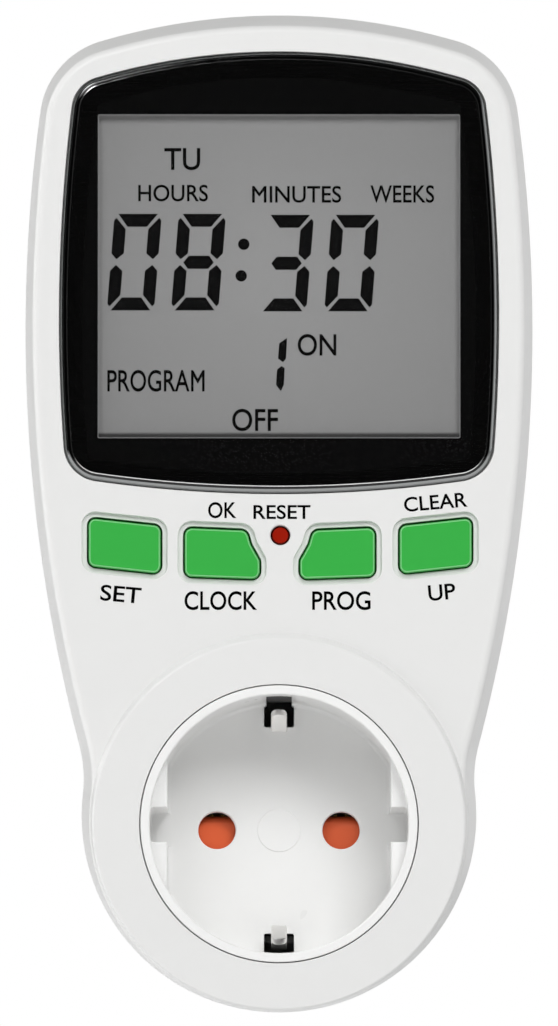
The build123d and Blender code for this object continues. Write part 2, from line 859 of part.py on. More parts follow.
# ---- Outlet: carrier, contacts, shutter and earth --------------------------------------------
def contact_carrier():
    body = rod((0, 0), carrier_r, carrier_flange_back, carrier_front)
    for side in (-1, 1):
        body += rod((side * pin_x, 0), tower_r, carrier_back, carrier_front)
    pocket_r = contact_r + contact_t + contact_gap
    for side in (-1, 1):
        place = (side * pin_x, 0)
        body -= rod(place, pin_hole_r, carrier_back, carrier_front)
        body -= rod(place, pocket_r, carrier_back, carrier_front - contact_front_wall)
        slot = sorted((side * clip_slot_inner_r, side * carrier_r * 2))
        half = clip_slot_w / 2
        body -= block((-half, half), slot, carrier_flange_back, carrier_front)
    for place in carrier_screw_at:
        body -= rod(place, carrier_screw_r + screw_gap, carrier_flange_back, carrier_front)
    body -= rod((0, 0), pivot_r + pivot_gap, pivot_hole_end, carrier_front)
    foot = spring_foot + 2 * screw_gap
    place = (0, spring_foot_z)
    body -= centred_block(place, foot, foot, carrier_front - spring_reach, carrier_front)
    return body


def socket_contact(side):
    """A slotted sleeve that grips the pin, with a foot plate at its rear end."""
    place = (side * pin_x, 0)
    front = carrier_front - contact_front_wall - contact_gap
    foot_back = carrier_back - contact_gap - contact_foot_t
    sleeve = rod(place, contact_r + contact_t, foot_back, front)
    half = contact_foot_w / 2
    foot_front = foot_back + contact_foot_t
    sleeve += block((place[0] - half, place[0] + half), (-half, half), foot_back, foot_front)
    sleeve -= rod(place, contact_r, foot_back, front)
    slot = contact_slot / 2
    sleeve -= block((place[0] - slot, place[0] + slot), (0, 2 * half), foot_front, front)
    return sleeve


def safety_shutter():
    arm = Rectangle(pin_pitch, shutter_arm_w)
    outline = Circle(shutter_hub_r) + arm
    for side in (-1, 1):
        outline += Pos(side * pin_x, 0) * Circle(shutter_lobe_r)
    plate = slab(outline, shutter_back, shutter_front)
    plate -= rod((0, 0), pivot_r + pivot_gap, shutter_back, shutter_front)
    half = spring_t / 2 + spring_side_gap
    notch_z = (-2 * shutter_hub_r, spring_notch - shutter_hub_r)
    return plate - block((-half, half), notch_z, shutter_back, shutter_front)


def shutter_spring():
    """A flat spring on edge: its foot stands in the carrier, its tip lies in the hub's notch."""
    foot_back = carrier_front - spring_reach
    foot = centred_block((0, spring_foot_z), spring_foot, spring_foot, foot_back, shutter_front)
    tip_z = spring_notch - shutter_hub_r - spring_side_gap
    half = spring_t / 2
    back_face = shutter_back + spring_side_gap
    front_face = shutter_front - spring_side_gap
    return foot + block((-half, half), (spring_foot_z, tip_z), back_face, front_face)


def socket_earth_strap():
    """One bent strip: a bridge behind the carrier and a clip at each end, bowed towards the plug."""
    back_face = carrier_flange_back - strap_t
    root = recess_r - clip_root_inset
    belly = recess_r - clip_belly_inset
    tip = recess_r - clip_tip_inset
    outer = root + strap_t
    strap = block((-strap_w / 2, strap_w / 2), (-outer, outer), back_face, carrier_flange_back)
    side_plane = Plane.YZ.offset(-clip_w / 2)
    for side in (-1, 1):
        inner_line = [
            (-back_face, side * root),
            (-recess_floor, side * root),
            (clip_belly_depth - ring_front, side * belly),
            (clip_tip_depth - ring_front, side * tip),
        ]
        outer_line = [(y, z + side * strap_t) for y, z in reversed(inner_line)]
        profile = make_face(Polyline(*(inner_line + outer_line), close=True))
        strap += extrude(side_plane * profile, clip_w, dir=(1, 0, 0))
    return strap


def plug_earth():
    """The plug's side strips with their cross strip, the earth-pin sleeve and the link forward."""
    cross_front = earth_hole_depth + plug_strip_t
    outer = boss_r - plug_strip_slot + plug_strip_t
    half = plug_strip_w / 2
    strap = block((-half, half), (-outer, outer), earth_hole_depth, cross_front)
    for side in (-1, 1):
        edge = sorted((side * outer, side * (outer - plug_strip_t)))
        strap += block((-half, half), edge, plug_strip_start, cross_front)
    parts["plug_earth_strap"] = strap
    place = (0, earth_hole_offset)
    sleeve_r = earth_hole_r + earth_sleeve_t - screw_gap
    sleeve = rod(place, sleeve_r, earth_sleeve_start, earth_hole_depth)
    sleeve -= rod(place, earth_hole_r, earth_sleeve_start, earth_hole_depth)
    parts["plug_earth_sleeve"] = sleeve
    strap_back = carrier_flange_back - strap_t
    half = busbar_w / 2
    link = block((-half, half), (-busbar_t / 2, busbar_t / 2), cross_front, strap_back)
    plate = (-link_plate / 2, link_plate / 2)
    link += block((-half, half), plate, cross_front, cross_front + busbar_t)
    link += block((-half, half), plate, strap_back - busbar_t, strap_back)
    parts["earth_link"] = link


parts["contact_carrier"] = contact_carrier()
parts["live_socket_contact"] = socket_contact(-1)
parts["neutral_socket_contact"] = socket_contact(1)
parts["safety_shutter"] = safety_shutter()
parts["shutter_spring"] = shutter_spring()
parts["socket_earth_strap"] = socket_earth_strap()
plug_earth()


# ---- Plug pins and busbars -------------------------------------------------------------------
def plug_pin(side):
    place = (side * pin_x, 0)
    shaft = rod(place, pin_r, -pin_length, 0)
    tip = shaft.edges().sort_by(Axis.Y)[-1]
    shaft = fillet(tip, pin_tip) + rod(place, pin_root_r, 0, boss_end)
    shaft += rod(place, pin_collar_r, boss_end, boss_end + pin_collar)
    return shaft + rod(place, pin_tail_r, boss_end, pin_tail_end)


def pin_bar(side, level, leg_end):
    """A plate riveted on a pin's tail, and a leg that runs forward above or below the pin."""
    x = side * pin_x
    half = busbar_w / 2
    turn = 1 if level > 0 else -1
    plate_z = sorted((-turn * half, level + turn * busbar_t))
    bar = block((x - half, x + half), plate_z, bar_back, bar_front)
    bar -= rod((x, 0), pin_tail_r + screw_gap, bar_back, bar_front)
    leg_z = sorted((level, level + turn * busbar_t))
    return bar + block((x - half, x + half), leg_z, bar_back, leg_end)


def busbars():
    foot_back = carrier_back - contact_gap - contact_foot_t
    half = busbar_w / 2
    neutral = pin_bar(1, -busbar_drop, foot_back)
    neutral += block(
        (pin_x - half, pin_x + half),
        (-busbar_drop - busbar_t, -pin_r - neutral_bar_air),
        foot_back - busbar_t,
        foot_back,
    )
    parts["neutral_busbar"] = neutral

    rise_front = power_back - busbar_t - live_bar_air
    rise_back = rise_front - busbar_t
    top = power_bottom_z + busbar_w
    outer_x = -pin_x - half - live_bar_shift
    rise_x = (outer_x, outer_x + busbar_w)
    live = pin_bar(-1, busbar_drop, rise_front)
    live += block((outer_x, half - pin_x), (busbar_drop, busbar_drop + busbar_w), rise_back, rise_front)
    live += block(rise_x, (busbar_drop, top), rise_back, rise_front)
    live += block(rise_x, (top - busbar_t, top), rise_back, power_back)
    parts["live_busbar"] = live

    foot_edge = -pin_x + contact_foot_w / 2
    switched = block((-pin_x, foot_edge), (contact_foot_w / 2, top), power_back - busbar_t, power_back)
    parts["switched_busbar"] = switched


parts["live_pin"] = plug_pin(-1)
parts["neutral_pin"] = plug_pin(1)
busbars()


# ---- Screws ----------------------------------------------------------------------------------
def screw(place, seat, shank_r, bite, head_r, head):
    """A screw that bites forward from its seat, with its head behind it."""
    body = rod(place, shank_r, seat, seat + bite)
    top = rod(place, head_r, seat - head, seat)
    slot = centred_block(place, 2 * head_r, head_r / 4, seat - head, seat - head / 2)
    return body + top - slot


def screws():
    seat = parting - case_post_gap - case_post_floor
    bite = case_post_floor + case_post_gap + case_screw_bite
    parts["case_screws"] = Compound(
        [
            screw(place, seat, case_screw_r, bite, case_screw_head_r, case_screw_head)
            for place in case_screws_at
        ]
    )
    bite = board_t + board_screw_bite
    parts["logic_board_screws"] = Compound(
        [
            screw(place, logic_back, board_screw_r, bite, board_screw_head_r, board_screw_head)
            for place in logic_posts
        ]
    )
    seat = face_inner - flange_t
    bite = flange_t + insert_screw_bite
    parts["insert_screws"] = Compound(
        [
            screw(place, seat, insert_screw_r, bite, insert_screw_head_r, insert_screw_head)
            for place in insert_screws_at
        ]
    )
    bite = carrier_flange_t + floor_t / 2
    parts["carrier_screws"] = Compound(
        [
            screw(
                place,
                carrier_flange_back,
                carrier_screw_r,
                bite,
                carrier_screw_head_r,
                carrier_screw_head,
            )
            for place in carrier_screw_at
        ]
    )
    board_screws = []
    for place in power_posts:
        body = rod(place, board_screw_r, rear_inner, power_front)
        head_top = power_front + board_screw_head
        board_screws.append(body + rod(place, board_screw_head_r, power_front, head_top))
    parts["power_board_screws"] = Compound(board_screws)


screws()

os.makedirs("parts", exist_ok=True)
for name, solid in parts.items():
    export_step(solid, f"parts/{name}.step")
print(len(parts), "nodes")
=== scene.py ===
# %% [markdown]
# # A plug-in timer switch
# The real object is a white case with an earthed outlet low in its front, a black lens over a
# liquid-crystal display above it, and a row of green keys between them.  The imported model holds
# every piece as a solid.  This file loads it as the frame and builds the skins that are seen:
# finer shapes with rounded edges, and a finish for every piece, in the same place and in metres.

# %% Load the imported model
import json
from math import cos, pi, radians, sin

import bmesh
import bpy
import numpy as np
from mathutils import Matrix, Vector
from mathutils.geometry import tessellate_polygon


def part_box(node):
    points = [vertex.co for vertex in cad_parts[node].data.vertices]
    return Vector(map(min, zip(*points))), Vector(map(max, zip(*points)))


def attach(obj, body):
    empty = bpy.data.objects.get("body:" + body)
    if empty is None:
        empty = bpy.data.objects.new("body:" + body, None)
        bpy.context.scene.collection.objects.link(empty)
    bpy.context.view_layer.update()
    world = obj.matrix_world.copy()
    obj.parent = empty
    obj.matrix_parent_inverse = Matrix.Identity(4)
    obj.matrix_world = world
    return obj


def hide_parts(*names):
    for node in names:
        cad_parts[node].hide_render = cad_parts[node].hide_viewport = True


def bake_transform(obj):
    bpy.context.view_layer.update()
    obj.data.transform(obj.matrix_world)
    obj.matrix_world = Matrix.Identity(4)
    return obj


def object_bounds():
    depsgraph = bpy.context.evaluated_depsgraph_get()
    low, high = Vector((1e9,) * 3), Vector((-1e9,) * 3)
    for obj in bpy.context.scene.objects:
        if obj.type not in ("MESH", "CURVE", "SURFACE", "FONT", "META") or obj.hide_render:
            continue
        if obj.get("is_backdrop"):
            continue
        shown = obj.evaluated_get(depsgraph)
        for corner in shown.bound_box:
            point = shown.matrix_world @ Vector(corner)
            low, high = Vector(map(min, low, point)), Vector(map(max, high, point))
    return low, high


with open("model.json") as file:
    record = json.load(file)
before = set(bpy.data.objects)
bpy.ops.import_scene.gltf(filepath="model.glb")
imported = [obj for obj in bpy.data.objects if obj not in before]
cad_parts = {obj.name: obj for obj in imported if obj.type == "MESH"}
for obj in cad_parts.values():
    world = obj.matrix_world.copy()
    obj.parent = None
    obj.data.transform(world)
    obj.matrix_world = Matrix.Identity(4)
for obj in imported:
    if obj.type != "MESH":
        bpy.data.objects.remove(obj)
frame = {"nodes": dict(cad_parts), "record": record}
cad_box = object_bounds()
scene = bpy.context.scene
MM = 0.001

# %% [markdown]
# ## Outlines
# Seen from the front, every large piece is a closed line of tangent arcs.  Such a line could be
# drawn by hand as a curve, but worked out from its circles it keeps the same points at any inset:
# each point only slides along its own normal.  That makes drafts, rounded edges and lips easy.
# Lengths are in millimetres here, as x to the right and z up; a "station" is the distance forward
# of the plug's end face, towards -Y.

# %% Arcs and outlines
FLIP = np.array([-1, 1])


def arc(centre, start, end, count, hollow=False, whole=False):
    """Points and outward normals on an arc about centre, from start towards end, the short way
    round.  The angle runs evenly, and unless the arc is whole its end is left to the next arc.
    A normal is the point's own radius, turned inwards on a hollow arc."""
    centre, start, end = (np.array(p, float) for p in (centre, start, end))
    first, last = (np.arctan2(*(p - centre)[::-1]) for p in (start, end))
    sweep = (last - first + pi) % (2 * pi) - pi
    angle = first + sweep * np.linspace(0, 1, count, endpoint=whole)
    normal = np.stack([np.cos(angle), np.sin(angle)], 1)
    return centre + np.hypot(*(start - centre)) * normal, -normal if hollow else normal


def joined(arcs):
    """One closed outline, as points and normals, from arcs that follow each other."""
    return tuple(np.concatenate(side) for side in zip(*arcs))


def both_sides(right, crown, *sole):
    """A closed outline: the right side's arcs, the crown, the same arcs mirrored, and a sole."""
    left = [(p * FLIP, end * FLIP, start * FLIP, *rest) for p, start, end, *rest in right[::-1]]
    return joined([arc(*spec) for spec in (*right, crown, *left, *sole)])


def crossing(a, reach_a, b, reach_b, near):
    """Of the two points at both reaches from a and b, the one closer to near."""
    a, b, near = (np.array(p, float) for p in (a, b, near))
    apart = np.hypot(*(b - a))
    along = (reach_a**2 - reach_b**2 + apart**2) / (2 * apart)
    unit = (b - a) / apart
    side = np.array([-unit[1], unit[0]]) * np.sqrt(reach_a**2 - along**2)
    both = (a + unit * along + side, a + unit * along - side)
    return min(both, key=lambda p: np.hypot(*(p - near)))


def towards(centre, point, radius):
    """The point at a radius from centre, on the line to another point."""
    step = np.array(point, float) - centre
    return centre + step * radius / np.hypot(*step)


def touching(p, r_p, q, r_q, radius, near):
    """The circle that touches two others from inside, or from outside for a negative radius: its
    centre, where circles of the lessened radii cross, and both points of touch."""
    centre = crossing(p, r_p - radius, q, r_q - radius, near)
    return centre, towards(p, centre, r_p), towards(q, centre, r_q)


def rounded(corners, count=7):
    """A polygon, anticlockwise, with an arc at each (x, z, radius) corner.  The arc's centre lies
    on the corner's bisector, radius / sin(half the corner's angle) away from it."""
    arcs, size = [], len(corners)
    for i, (x, z, radius) in enumerate(corners):
        here = np.array([x, z])
        before, after = (np.array(corners[(i + k) % size][:2]) - here for k in (-1, 1))
        u, v = before / np.hypot(*before), after / np.hypot(*after)
        half = np.arccos(np.clip(u @ v, -1, 1)) / 2
        centre = here + (u + v) / np.hypot(*(u + v)) * radius / np.sin(half)
        ends = (here + u * radius / np.tan(half), here + v * radius / np.tan(half))
        turns_in = before[0] * after[1] - before[1] * after[0] > 0
        arcs.append(arc(centre, *ends, count, turns_in, whole=True))
    return joined(arcs)


def box_outline(half_w, low, high, radius=0.6):
    """A rounded rectangle, centred sideways."""
    corners = [(-half_w, low), (half_w, low), (half_w, high), (-half_w, high)]
    return rounded([(*corner, radius) for corner in corners])


def circle(radius, count=180, centre=(0, 0)):
    """A circle as points and normals: centre + radius (cos a, sin a)."""
    angle = 2 * pi * np.arange(count) / count
    normal = np.stack([np.cos(angle), np.sin(angle)], 1)
    return np.array(centre) + radius * normal, normal


# %% Sizes of the case
half_width, top_z, widest_z = 38.8, 124.7, 76.5
recess_r, foot_r, foot_rise = 19.7, 30.15, 1.95
waist_r, flank_foot_z, shoulder_r, crown_r = 20.0, 11.3, 13.0, 96.0
bottom_z = foot_rise - foot_r
flank_sag = half_width - foot_r
flank_r = ((widest_z - flank_foot_z) ** 2 + flank_sag**2) / (2 * flank_sag)
back, parting, ring_front = 17.0, 44.8, 56.0
ring_step, face_t, wall = 1.2, 2.6, 2.0
face = ring_front - ring_step
face_inner = face - face_t
skirt = face - parting
side_draft, top_draft, foot_draft, rear_draft = 1.3, 2.65, -0.2, 1.6
reach = -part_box("front_shell")[0].y / MM
print("front shell reaches", round(reach, 2), "and should reach", ring_front)


# %% The case's outline
def case_outline(draft, top, bottom):
    """Round foot, hollow waist, bowed flank, shoulder and bowed crown, each tangent to the next.
    A draft moves every circle's line inwards, which its hollow waist feels as a larger radius."""
    foot = np.array([0, bottom + foot_r - draft])
    flank = np.array([half_width - flank_r, widest_z])
    crown = np.array([0, top - crown_r + draft])
    r_foot, r_waist, r_flank = foot_r - draft, waist_r + draft, flank_r - draft
    r_shoulder, r_crown = shoulder_r - draft, crown_r - draft
    waist, a, b = touching(foot, r_foot, flank, r_flank, -r_waist, (half_width, 0))
    shoulder, c, d = touching(flank, r_flank, crown, r_crown, r_shoulder, (half_width, top))
    right = [(foot, np.array([0, bottom]), a, 64), (waist, a, b, 12, True), (flank, b, c, 72)]
    right.append((shoulder, c, d, 28))
    return both_sides(right, (crown, d, d * FLIP, 72))


face_points = case_outline(side_draft, top_z - top_draft, bottom_z + foot_draft)[0]
part_points, part_normals = case_outline(0, top_z, bottom_z)
back_points = case_outline(rear_draft, top_z - rear_draft, bottom_z + rear_draft)[0]


def place(points, station):
    """Front-view points in millimetres, set at a station or one each, as places in metres."""
    return np.column_stack([points[:, 0], np.full(len(points), -station), points[:, 1]]) * MM


def case_ring(inset, station):
    """The case's outline at a station: its drafted sides run straight between the outlines at the
    back, the parting line and the face, and the inset moves it inwards."""
    if station >= parting:
        share, points = (station - parting) / skirt, face_points
    else:
        share, points = (parting - station) / (parting - back), back_points
    return place(part_points + share * (points - part_points) - inset * part_normals, station)


print("outline of", len(part_points), "points, flank radius", round(flank_r, 1), "mm")

# %% [markdown]
# ## Surfaces
# A moulded piece is a stack of such rings: quads join neighbours, and a flat face closes each end.
# Mouths and hollows are stacks too, and an exact Boolean takes them away.  Bevelling the edges
# afterwards would be quicker to write, but a Bevel modifier stumbles over the crowded corners of a
# Boolean, so the roundings are in the stacks' own profiles.  Weighted normals keep flats flat.

# %% Stacks, cuts and normals
def round_over(radius, end, steps=5):
    """(inset, station) pairs of a quarter round that ends flat at a station: for an angle from 0
    to 90 degrees, inset = radius (1 - cos), station = end - radius (1 - sin)."""
    angle = np.linspace(0, pi / 2, steps + 1)
    return list(zip(radius * (1 - np.cos(angle)), end - radius * (1 - np.sin(angle))))


def flare(radius, mouth, steps=4, out=1.0):
    """(inset, station) pairs of a hole's rounded lip: it widens to radius at its mouth, and runs
    on past the surface that it cuts."""
    pairs = [(-inset, station) for inset, station in round_over(radius, mouth, steps)]
    return pairs + [(-radius, mouth + out)]


def stack(shape, pairs):
    """Rings along (inset, station) pairs, back to front.  The shape is a function that gives each
    ring, or an outline that is moved inwards along its normals."""
    if callable(shape):
        return np.array([shape(inset, station) for inset, station in pairs])
    points, normals = shape
    return np.array([place(points - inset * normals, station) for inset, station in pairs])


def drum(pairs, centre=(0, 0), count=180):
    """A turned stack from (radius, station) pairs, back to front."""
    return np.array([place(circle(radius, count, centre)[0], s) for radius, s in pairs])


def rods(radius, start, end, places, count=32):
    """Plain round rods of one size, one at each place."""
    return [drum([(radius, start), (radius, end)], at, count) for at in places]


def new_object(name, data):
    """A new object at the origin, linked into the scene."""
    made = bpy.data.objects.new(name, data)
    scene.collection.objects.link(made)
    return made


def mesh_object(name, verts, faces):
    """A new object from points and faces."""
    mesh = bpy.data.meshes.new(name)
    mesh.from_pydata(verts, [], faces)
    return new_object(name, mesh)


def quads_along(index):
    """Quads that join neighbours in a grid of point numbers, with one ring in each row."""
    a, b = index[:-1], index[1:]
    return np.stack([a, np.roll(a, -1, 1), np.roll(b, -1, 1), b], -1).reshape(-1, 4).tolist()


def piece(name, *stacks):
    """A mesh object from closed stacks of rings.  With a ring's points counted anticlockwise in
    the front view and the rings counted forwards, every face points outwards."""
    verts, faces, start = [], [], 0
    for rings in stacks:
        count, size = rings.shape[:2]
        index = start + np.arange(count * size).reshape(count, size)
        faces += quads_along(index) + [index[0][::-1].tolist(), index[-1].tolist()]
        verts.append(rings.reshape(-1, 3))
        start += count * size
    return mesh_object(name, np.concatenate(verts).tolist(), faces)


def combine(target, stacks, how):
    """Joins a piece with a tool made of stacks, and makes the result the piece's own mesh."""
    tool = piece("tool", *stacks)
    joint = target.modifiers.new("boolean", "BOOLEAN")
    joint.object, joint.operation, joint.solver = tool, how, "EXACT"
    shape = target.evaluated_get(bpy.context.evaluated_depsgraph_get())
    result = bpy.data.meshes.new_from_object(shape)
    target.modifiers.clear()
    target.data = result
    bpy.data.objects.remove(tool)


def cut(target, *stacks):
    """Takes closed stacks away from a piece."""
    combine(target, stacks, "DIFFERENCE")


def add(target, *stacks):
    """Adds closed stacks to a piece."""
    combine(target, stacks, "UNION")


def dress(made, *finishes):
    """Gives a piece its materials, in place of the empty slots that a Boolean leaves."""
    made.data.materials.clear()
    for finish in finishes:
        made.data.materials.append(finish)
    return made


def smooth(made, angle=34):
    """Smooth shading with sharp edges past an angle, and normals weighted by face area."""
    made.data.shade_smooth()
    made.data.set_sharp_from_angle(angle=radians(angle))
    weighted = made.modifiers.new("weighted normals", "WEIGHTED_NORMAL")
    weighted.mode, weighted.keep_sharp, weighted.weight = "FACE_AREA", True, 50
    return made


def settle(made, body, slot, *nodes):
    """Says which body a piece rides on and hides the nodes that it stands for; its slot is not
    used.
    """
    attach(made, body)
    if nodes:
        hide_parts(*nodes)
    made.data.validate()
    print(made.name, len(made.data.polygons), "faces")


# %% [markdown]
# ## Finishes
# Nearly every piece is injection-moulded plastic: a dye in the resin, a satin or polished tool, and
# a very faint unevenness in the gloss.  One recipe covers them, from a base colour, a roughness and
# the real size of the surface's grain.  Metals get theirs from a fine rolled or turned texture.

# %% Colours and nodes
def linear(code):
    """An sRGB hex colour as linear RGBA: below 0.04045 it is divided by 12.92, above it follows
    ((c + 0.055) / 1.055) to the power 2.4."""
    c = np.array([int(code[i : i + 2], 16) for i in (1, 3, 5)]) / 255
    return (*np.where(c <= 0.04045, c / 12.92, ((c + 0.055) / 1.055) ** 2.4), 1.0)


def node(tree, kind, inputs=None, **settings):
    """Adds one node.  An input given as a socket is linked, and any other value is set."""
    made = tree.nodes.new(kind)
    for name, value in settings.items():
        setattr(made, name, value)
    for name, value in (inputs or {}).items():
        if isinstance(value, bpy.types.NodeSocket):
            tree.links.new(value, made.inputs[name])
        else:
            made.inputs[name].default_value = value
    return made


def material(name, shader):
    """A new material; shader(tree) returns the node that shades its surface."""
    made = bpy.data.materials.new(name)
    made.use_nodes = True
    made.node_tree.nodes.clear()
    surface = shader(made.node_tree).outputs["BSDF"]
    node(made.node_tree, "ShaderNodeOutputMaterial", {"Surface": surface})
    return made


def noise(tree, size_mm, detail=2.0):
    """Object-space noise whose lumps are about size_mm across."""
    where = node(tree, "ShaderNodeTexCoord").outputs["Object"]
    settings = {"Vector": where, "Scale": 1 / (size_mm * MM), "Detail": detail}
    return node(tree, "ShaderNodeTexNoise", settings).outputs["Fac"]


def span(tree, value, low, high, start=0.2, end=0.8):
    """A value carried from the range start..end to low..high."""
    ends = {"Value": value, "From Min": start, "From Max": end, "To Min": low, "To Max": high}
    return node(tree, "ShaderNodeMapRange", ends).outputs["Result"]


MIX_FACTOR, MIX_A, MIX_B, MIX_RESULT = 0, 6, 7, 2  # the colour sockets of a Mix node, by number


def moulded(colour, roughness, grain_mm=0.35, relief_mm=0.004, mottle=0.03, **sockets):
    """Moulded plastic or ground metal: the colour darkens by mottle in lumps 9 mm across, the
    roughness wanders by a tenth, and a fine grain of relief_mm lifts the surface."""
    def shader(tree):
        broad, fine = noise(tree, 9.0), noise(tree, grain_mm, 4.0)
        dark = tuple(c * (1 - mottle) for c in linear(colour)[:3]) + (1.0,)
        tint = {MIX_FACTOR: span(tree, broad, 0, 1), MIX_A: linear(colour), MIX_B: dark}
        bump = {"Height": fine, "Strength": 1.0, "Distance": relief_mm * MM}
        settings = {
            "Base Color": node(tree, "ShaderNodeMix", tint, data_type="RGBA").outputs[MIX_RESULT],
            "Roughness": span(tree, broad, roughness * 0.9, roughness * 1.1),
            "Normal": node(tree, "ShaderNodeBump", bump).outputs["Normal"],
            **sockets,
        }
        return node(tree, "ShaderNodeBsdfPrincipled", settings)
    return shader


def metal(colour, roughness, grain_mm=0.5, relief_mm=0.002, mottle=0.08):
    """Rolled, drawn or turned metal: bright, with fine lines and a little unevenness."""
    return moulded(colour, roughness, grain_mm, relief_mm, mottle, Metallic=1.0)


def polished(colour, low, high, lump_mm=3.0, **sockets):
    """Acrylic, glass or a mirror, without grain: its roughness is even where low equals high, and
    else wanders between the two in lumps of lump_mm."""
    def shader(tree):
        haze = low if low == high else span(tree, noise(tree, lump_mm), low, high)
        look = {"Base Color": linear(colour), "Roughness": haze, **sockets}
        return node(tree, "ShaderNodeBsdfPrincipled", look)
    return shader


# %% [markdown]
# ## Front shell
# One moulding in white ABS: the drafted skirt, a face with a sunken seat for the lens, four framed
# key openings, and the ring that stands round the outlet.  It is built as the toolmaker sees it:
# the outside first, then the hollow, the posts behind, and last every opening with its lip.

# %% Outside and hollow of the front shell
ring_r, ring_inset, edge_r, ring_edge_r = 28.35, 0.15, 1.0, 0.35
foot_at_face = bottom_z + foot_draft + foot_r - side_draft
root_r = foot_r - side_draft - ring_inset
shell_pairs = [(0.12, parting), (0.0, parting + 0.12)] + round_over(edge_r, face, 8)
shell = piece("front_shell_skin", stack(case_ring, shell_pairs))


def plinth_ring(inset, station):
    """The raised ring's outline: its centre moves from the foot's to the outlet's axis, and its
    radius shrinks evenly, from the face to the ring's front."""
    share = np.clip((station - face) / ring_step, 0, 1)
    radius = root_r + share * (ring_r - root_r) - inset
    return place(circle(radius, 240, (0, foot_at_face * (1 - share)))[0], station)


plinth_pairs = [(0, face - 2), (0, face)] + round_over(ring_edge_r, ring_front, 6)
add(shell, stack(plinth_ring, plinth_pairs))

lap_height, lap_skin = 2.0, 1.0
hollow_pairs = [(lap_skin, parting - 1), (lap_skin, parting + lap_height)]
hollow_pairs += [(wall, parting + lap_height), (wall, face_inner)]
cut(shell, stack(case_ring, hollow_pairs))

# %% Posts behind the front shell
case_screws_at = [(0, 116.8), (-24.8, 20.5), (24.8, 20.5)]
logic_posts_at = [(x, z) for x in (-22, 22) for z in (33, 114)]
diagonal = 24.0 / np.sqrt(2)
insert_screws_at = [(x, z) for x in (-diagonal, diagonal) for z in (-diagonal, diagonal)]
logic_station = 46.0
add(
    shell,
    *rods(2.8, parting, face_inner + 0.5, case_screws_at),
    *rods(2.0, logic_station, face_inner + 0.5, logic_posts_at, 24),
)


# %% Lens, key and screw outlines
def lens_outline():
    """The lens: bowed flanks, a bowed crown and a bowed sole, with a tangent corner between each
    two, found as the case's are."""
    lens_half, lens_widest, lens_top, lens_bottom = 33.4, 77.5, 118.0, 50.55
    r_flank, r_crown, r_sole, r_upper, r_lower = 272.0, 99.0, 199.0, 5.1, 5.5
    flank = np.array([lens_half - r_flank, lens_widest])
    crown, sole = np.array([0, lens_top - r_crown]), np.array([0, lens_bottom + r_sole])
    lower, b, a = touching(flank, r_flank, sole, r_sole, r_lower, (half_width, 0))
    upper, c, d = touching(flank, r_flank, crown, r_crown, r_upper, (half_width, top_z))
    right = [(lower, a, b, 18), (flank, b, c, 60), (upper, c, d, 18)]
    return both_sides(right, (crown, d, d * FLIP, 60), (sole, a * FLIP, a, 60))


outer_key = [(-29.0, 46.7, 1.0), (-18.05, 45.5, 1.1), (-18.05, 38.2, 1.1), (-29.0, 39.4, 1.1)]
inner_key = [(-14.35, 45.2, 1.1), (-4.95, 44.8, 1.2), (-4.35, 42.65, 2.2), (-2.97, 40.2, 1.0)]
inner_key += [(-2.97, 37.4, 1.1), (-14.35, 37.8, 1.1)]


def key_outline(corners, side, shift=0.0):
    """A key's outline: the left-hand corners as they are, or mirrored on the right (side 1) and
    moved sideways by shift."""
    order = corners[::-1] if side < 0 else corners
    return rounded([(shift - side * x, z, radius) for x, z, radius in order])


keys = {
    "set": (key_outline(outer_key, -1), (-23.5, 42.4)),
    "clock": (key_outline(inner_key, -1), (-8.9, 41.3)),
    "program": (key_outline(inner_key, 1, 0.25), (8.9, 41.3)),
    "up": (key_outline(outer_key, 1, 0.35), (23.5, 42.4)),
}
lens_shape = lens_outline()
window_half, window_low, window_high = 27.65, 59.05, 108.65
reset_at = (0.2, 44.1)

# %% Openings of the front shell
lens_gap, lens_seat, lip_r = 0.15, 1.6, 0.18
border_w, border_depth, key_gap = 1.0, 0.65, 0.27


def opening(shape, gap, floor, mouth, radius):
    """A cut that stands gap outside an outline, from its floor to a rounded lip at its mouth."""
    pairs = [(0, floor)] + flare(radius, mouth)
    return stack(shape, [(inset - gap, station) for inset, station in pairs])


def raised(shape, height=0.08):
    """A key's outline moved up a little: caps hang low in their openings, on soft rubber."""
    return shape[0] + np.array([0, height]), shape[1]


cuts = [
    opening(circle(21.27), 0, parting - 1, ring_front, 0.12),
    opening(lens_shape, lens_gap, face - lens_seat, face, lip_r),
    opening(circle(1.5, 48, reset_at), 0, face_inner - 1, face, 0.35),
]
cuts += [opening(raised(k[0]), border_w, face - border_depth, face, 0.2) for k in keys.values()]
cuts += rods(1.5, parting - 1, parting + 6.05, case_screws_at, 20)
cuts += rods(1.15, logic_station - 1, face_inner, logic_posts_at, 20)
cuts += rods(1.15, face_inner - 1, face_inner + 2.65, insert_screws_at, 20)
cut(shell, *cuts)
window = box_outline(window_half + 0.3, window_low - 0.3, window_high + 0.3)
cuts = [stack(window, [(0, face_inner - 1), (0, face - 1)])]
shapes = [raised(shape) for shape, _ in keys.values()]
cuts += [opening(shape, key_gap, face_inner - 1, face - border_depth, 0.1) for shape in shapes]
cut(shell, *cuts)
white_abs = material("white_abs", moulded("#E7E7E6", 0.34, 0.3, 0.0025, 0.012, IOR=1.53))
dress(shell, white_abs)
settle(smooth(shell), "case", "shell_white", "front_shell")

# %% [markdown]
# ## Socket insert
# The outlet is a separate cup, moulded in a hard thermoset and screwed in from behind.  Its well
# takes a plug of 39 mm: two guide blocks leave a space between flats, with a keyway across them.
# The cup is cut out of a turned blank, as its tool would be, by three cutters that share one floor.

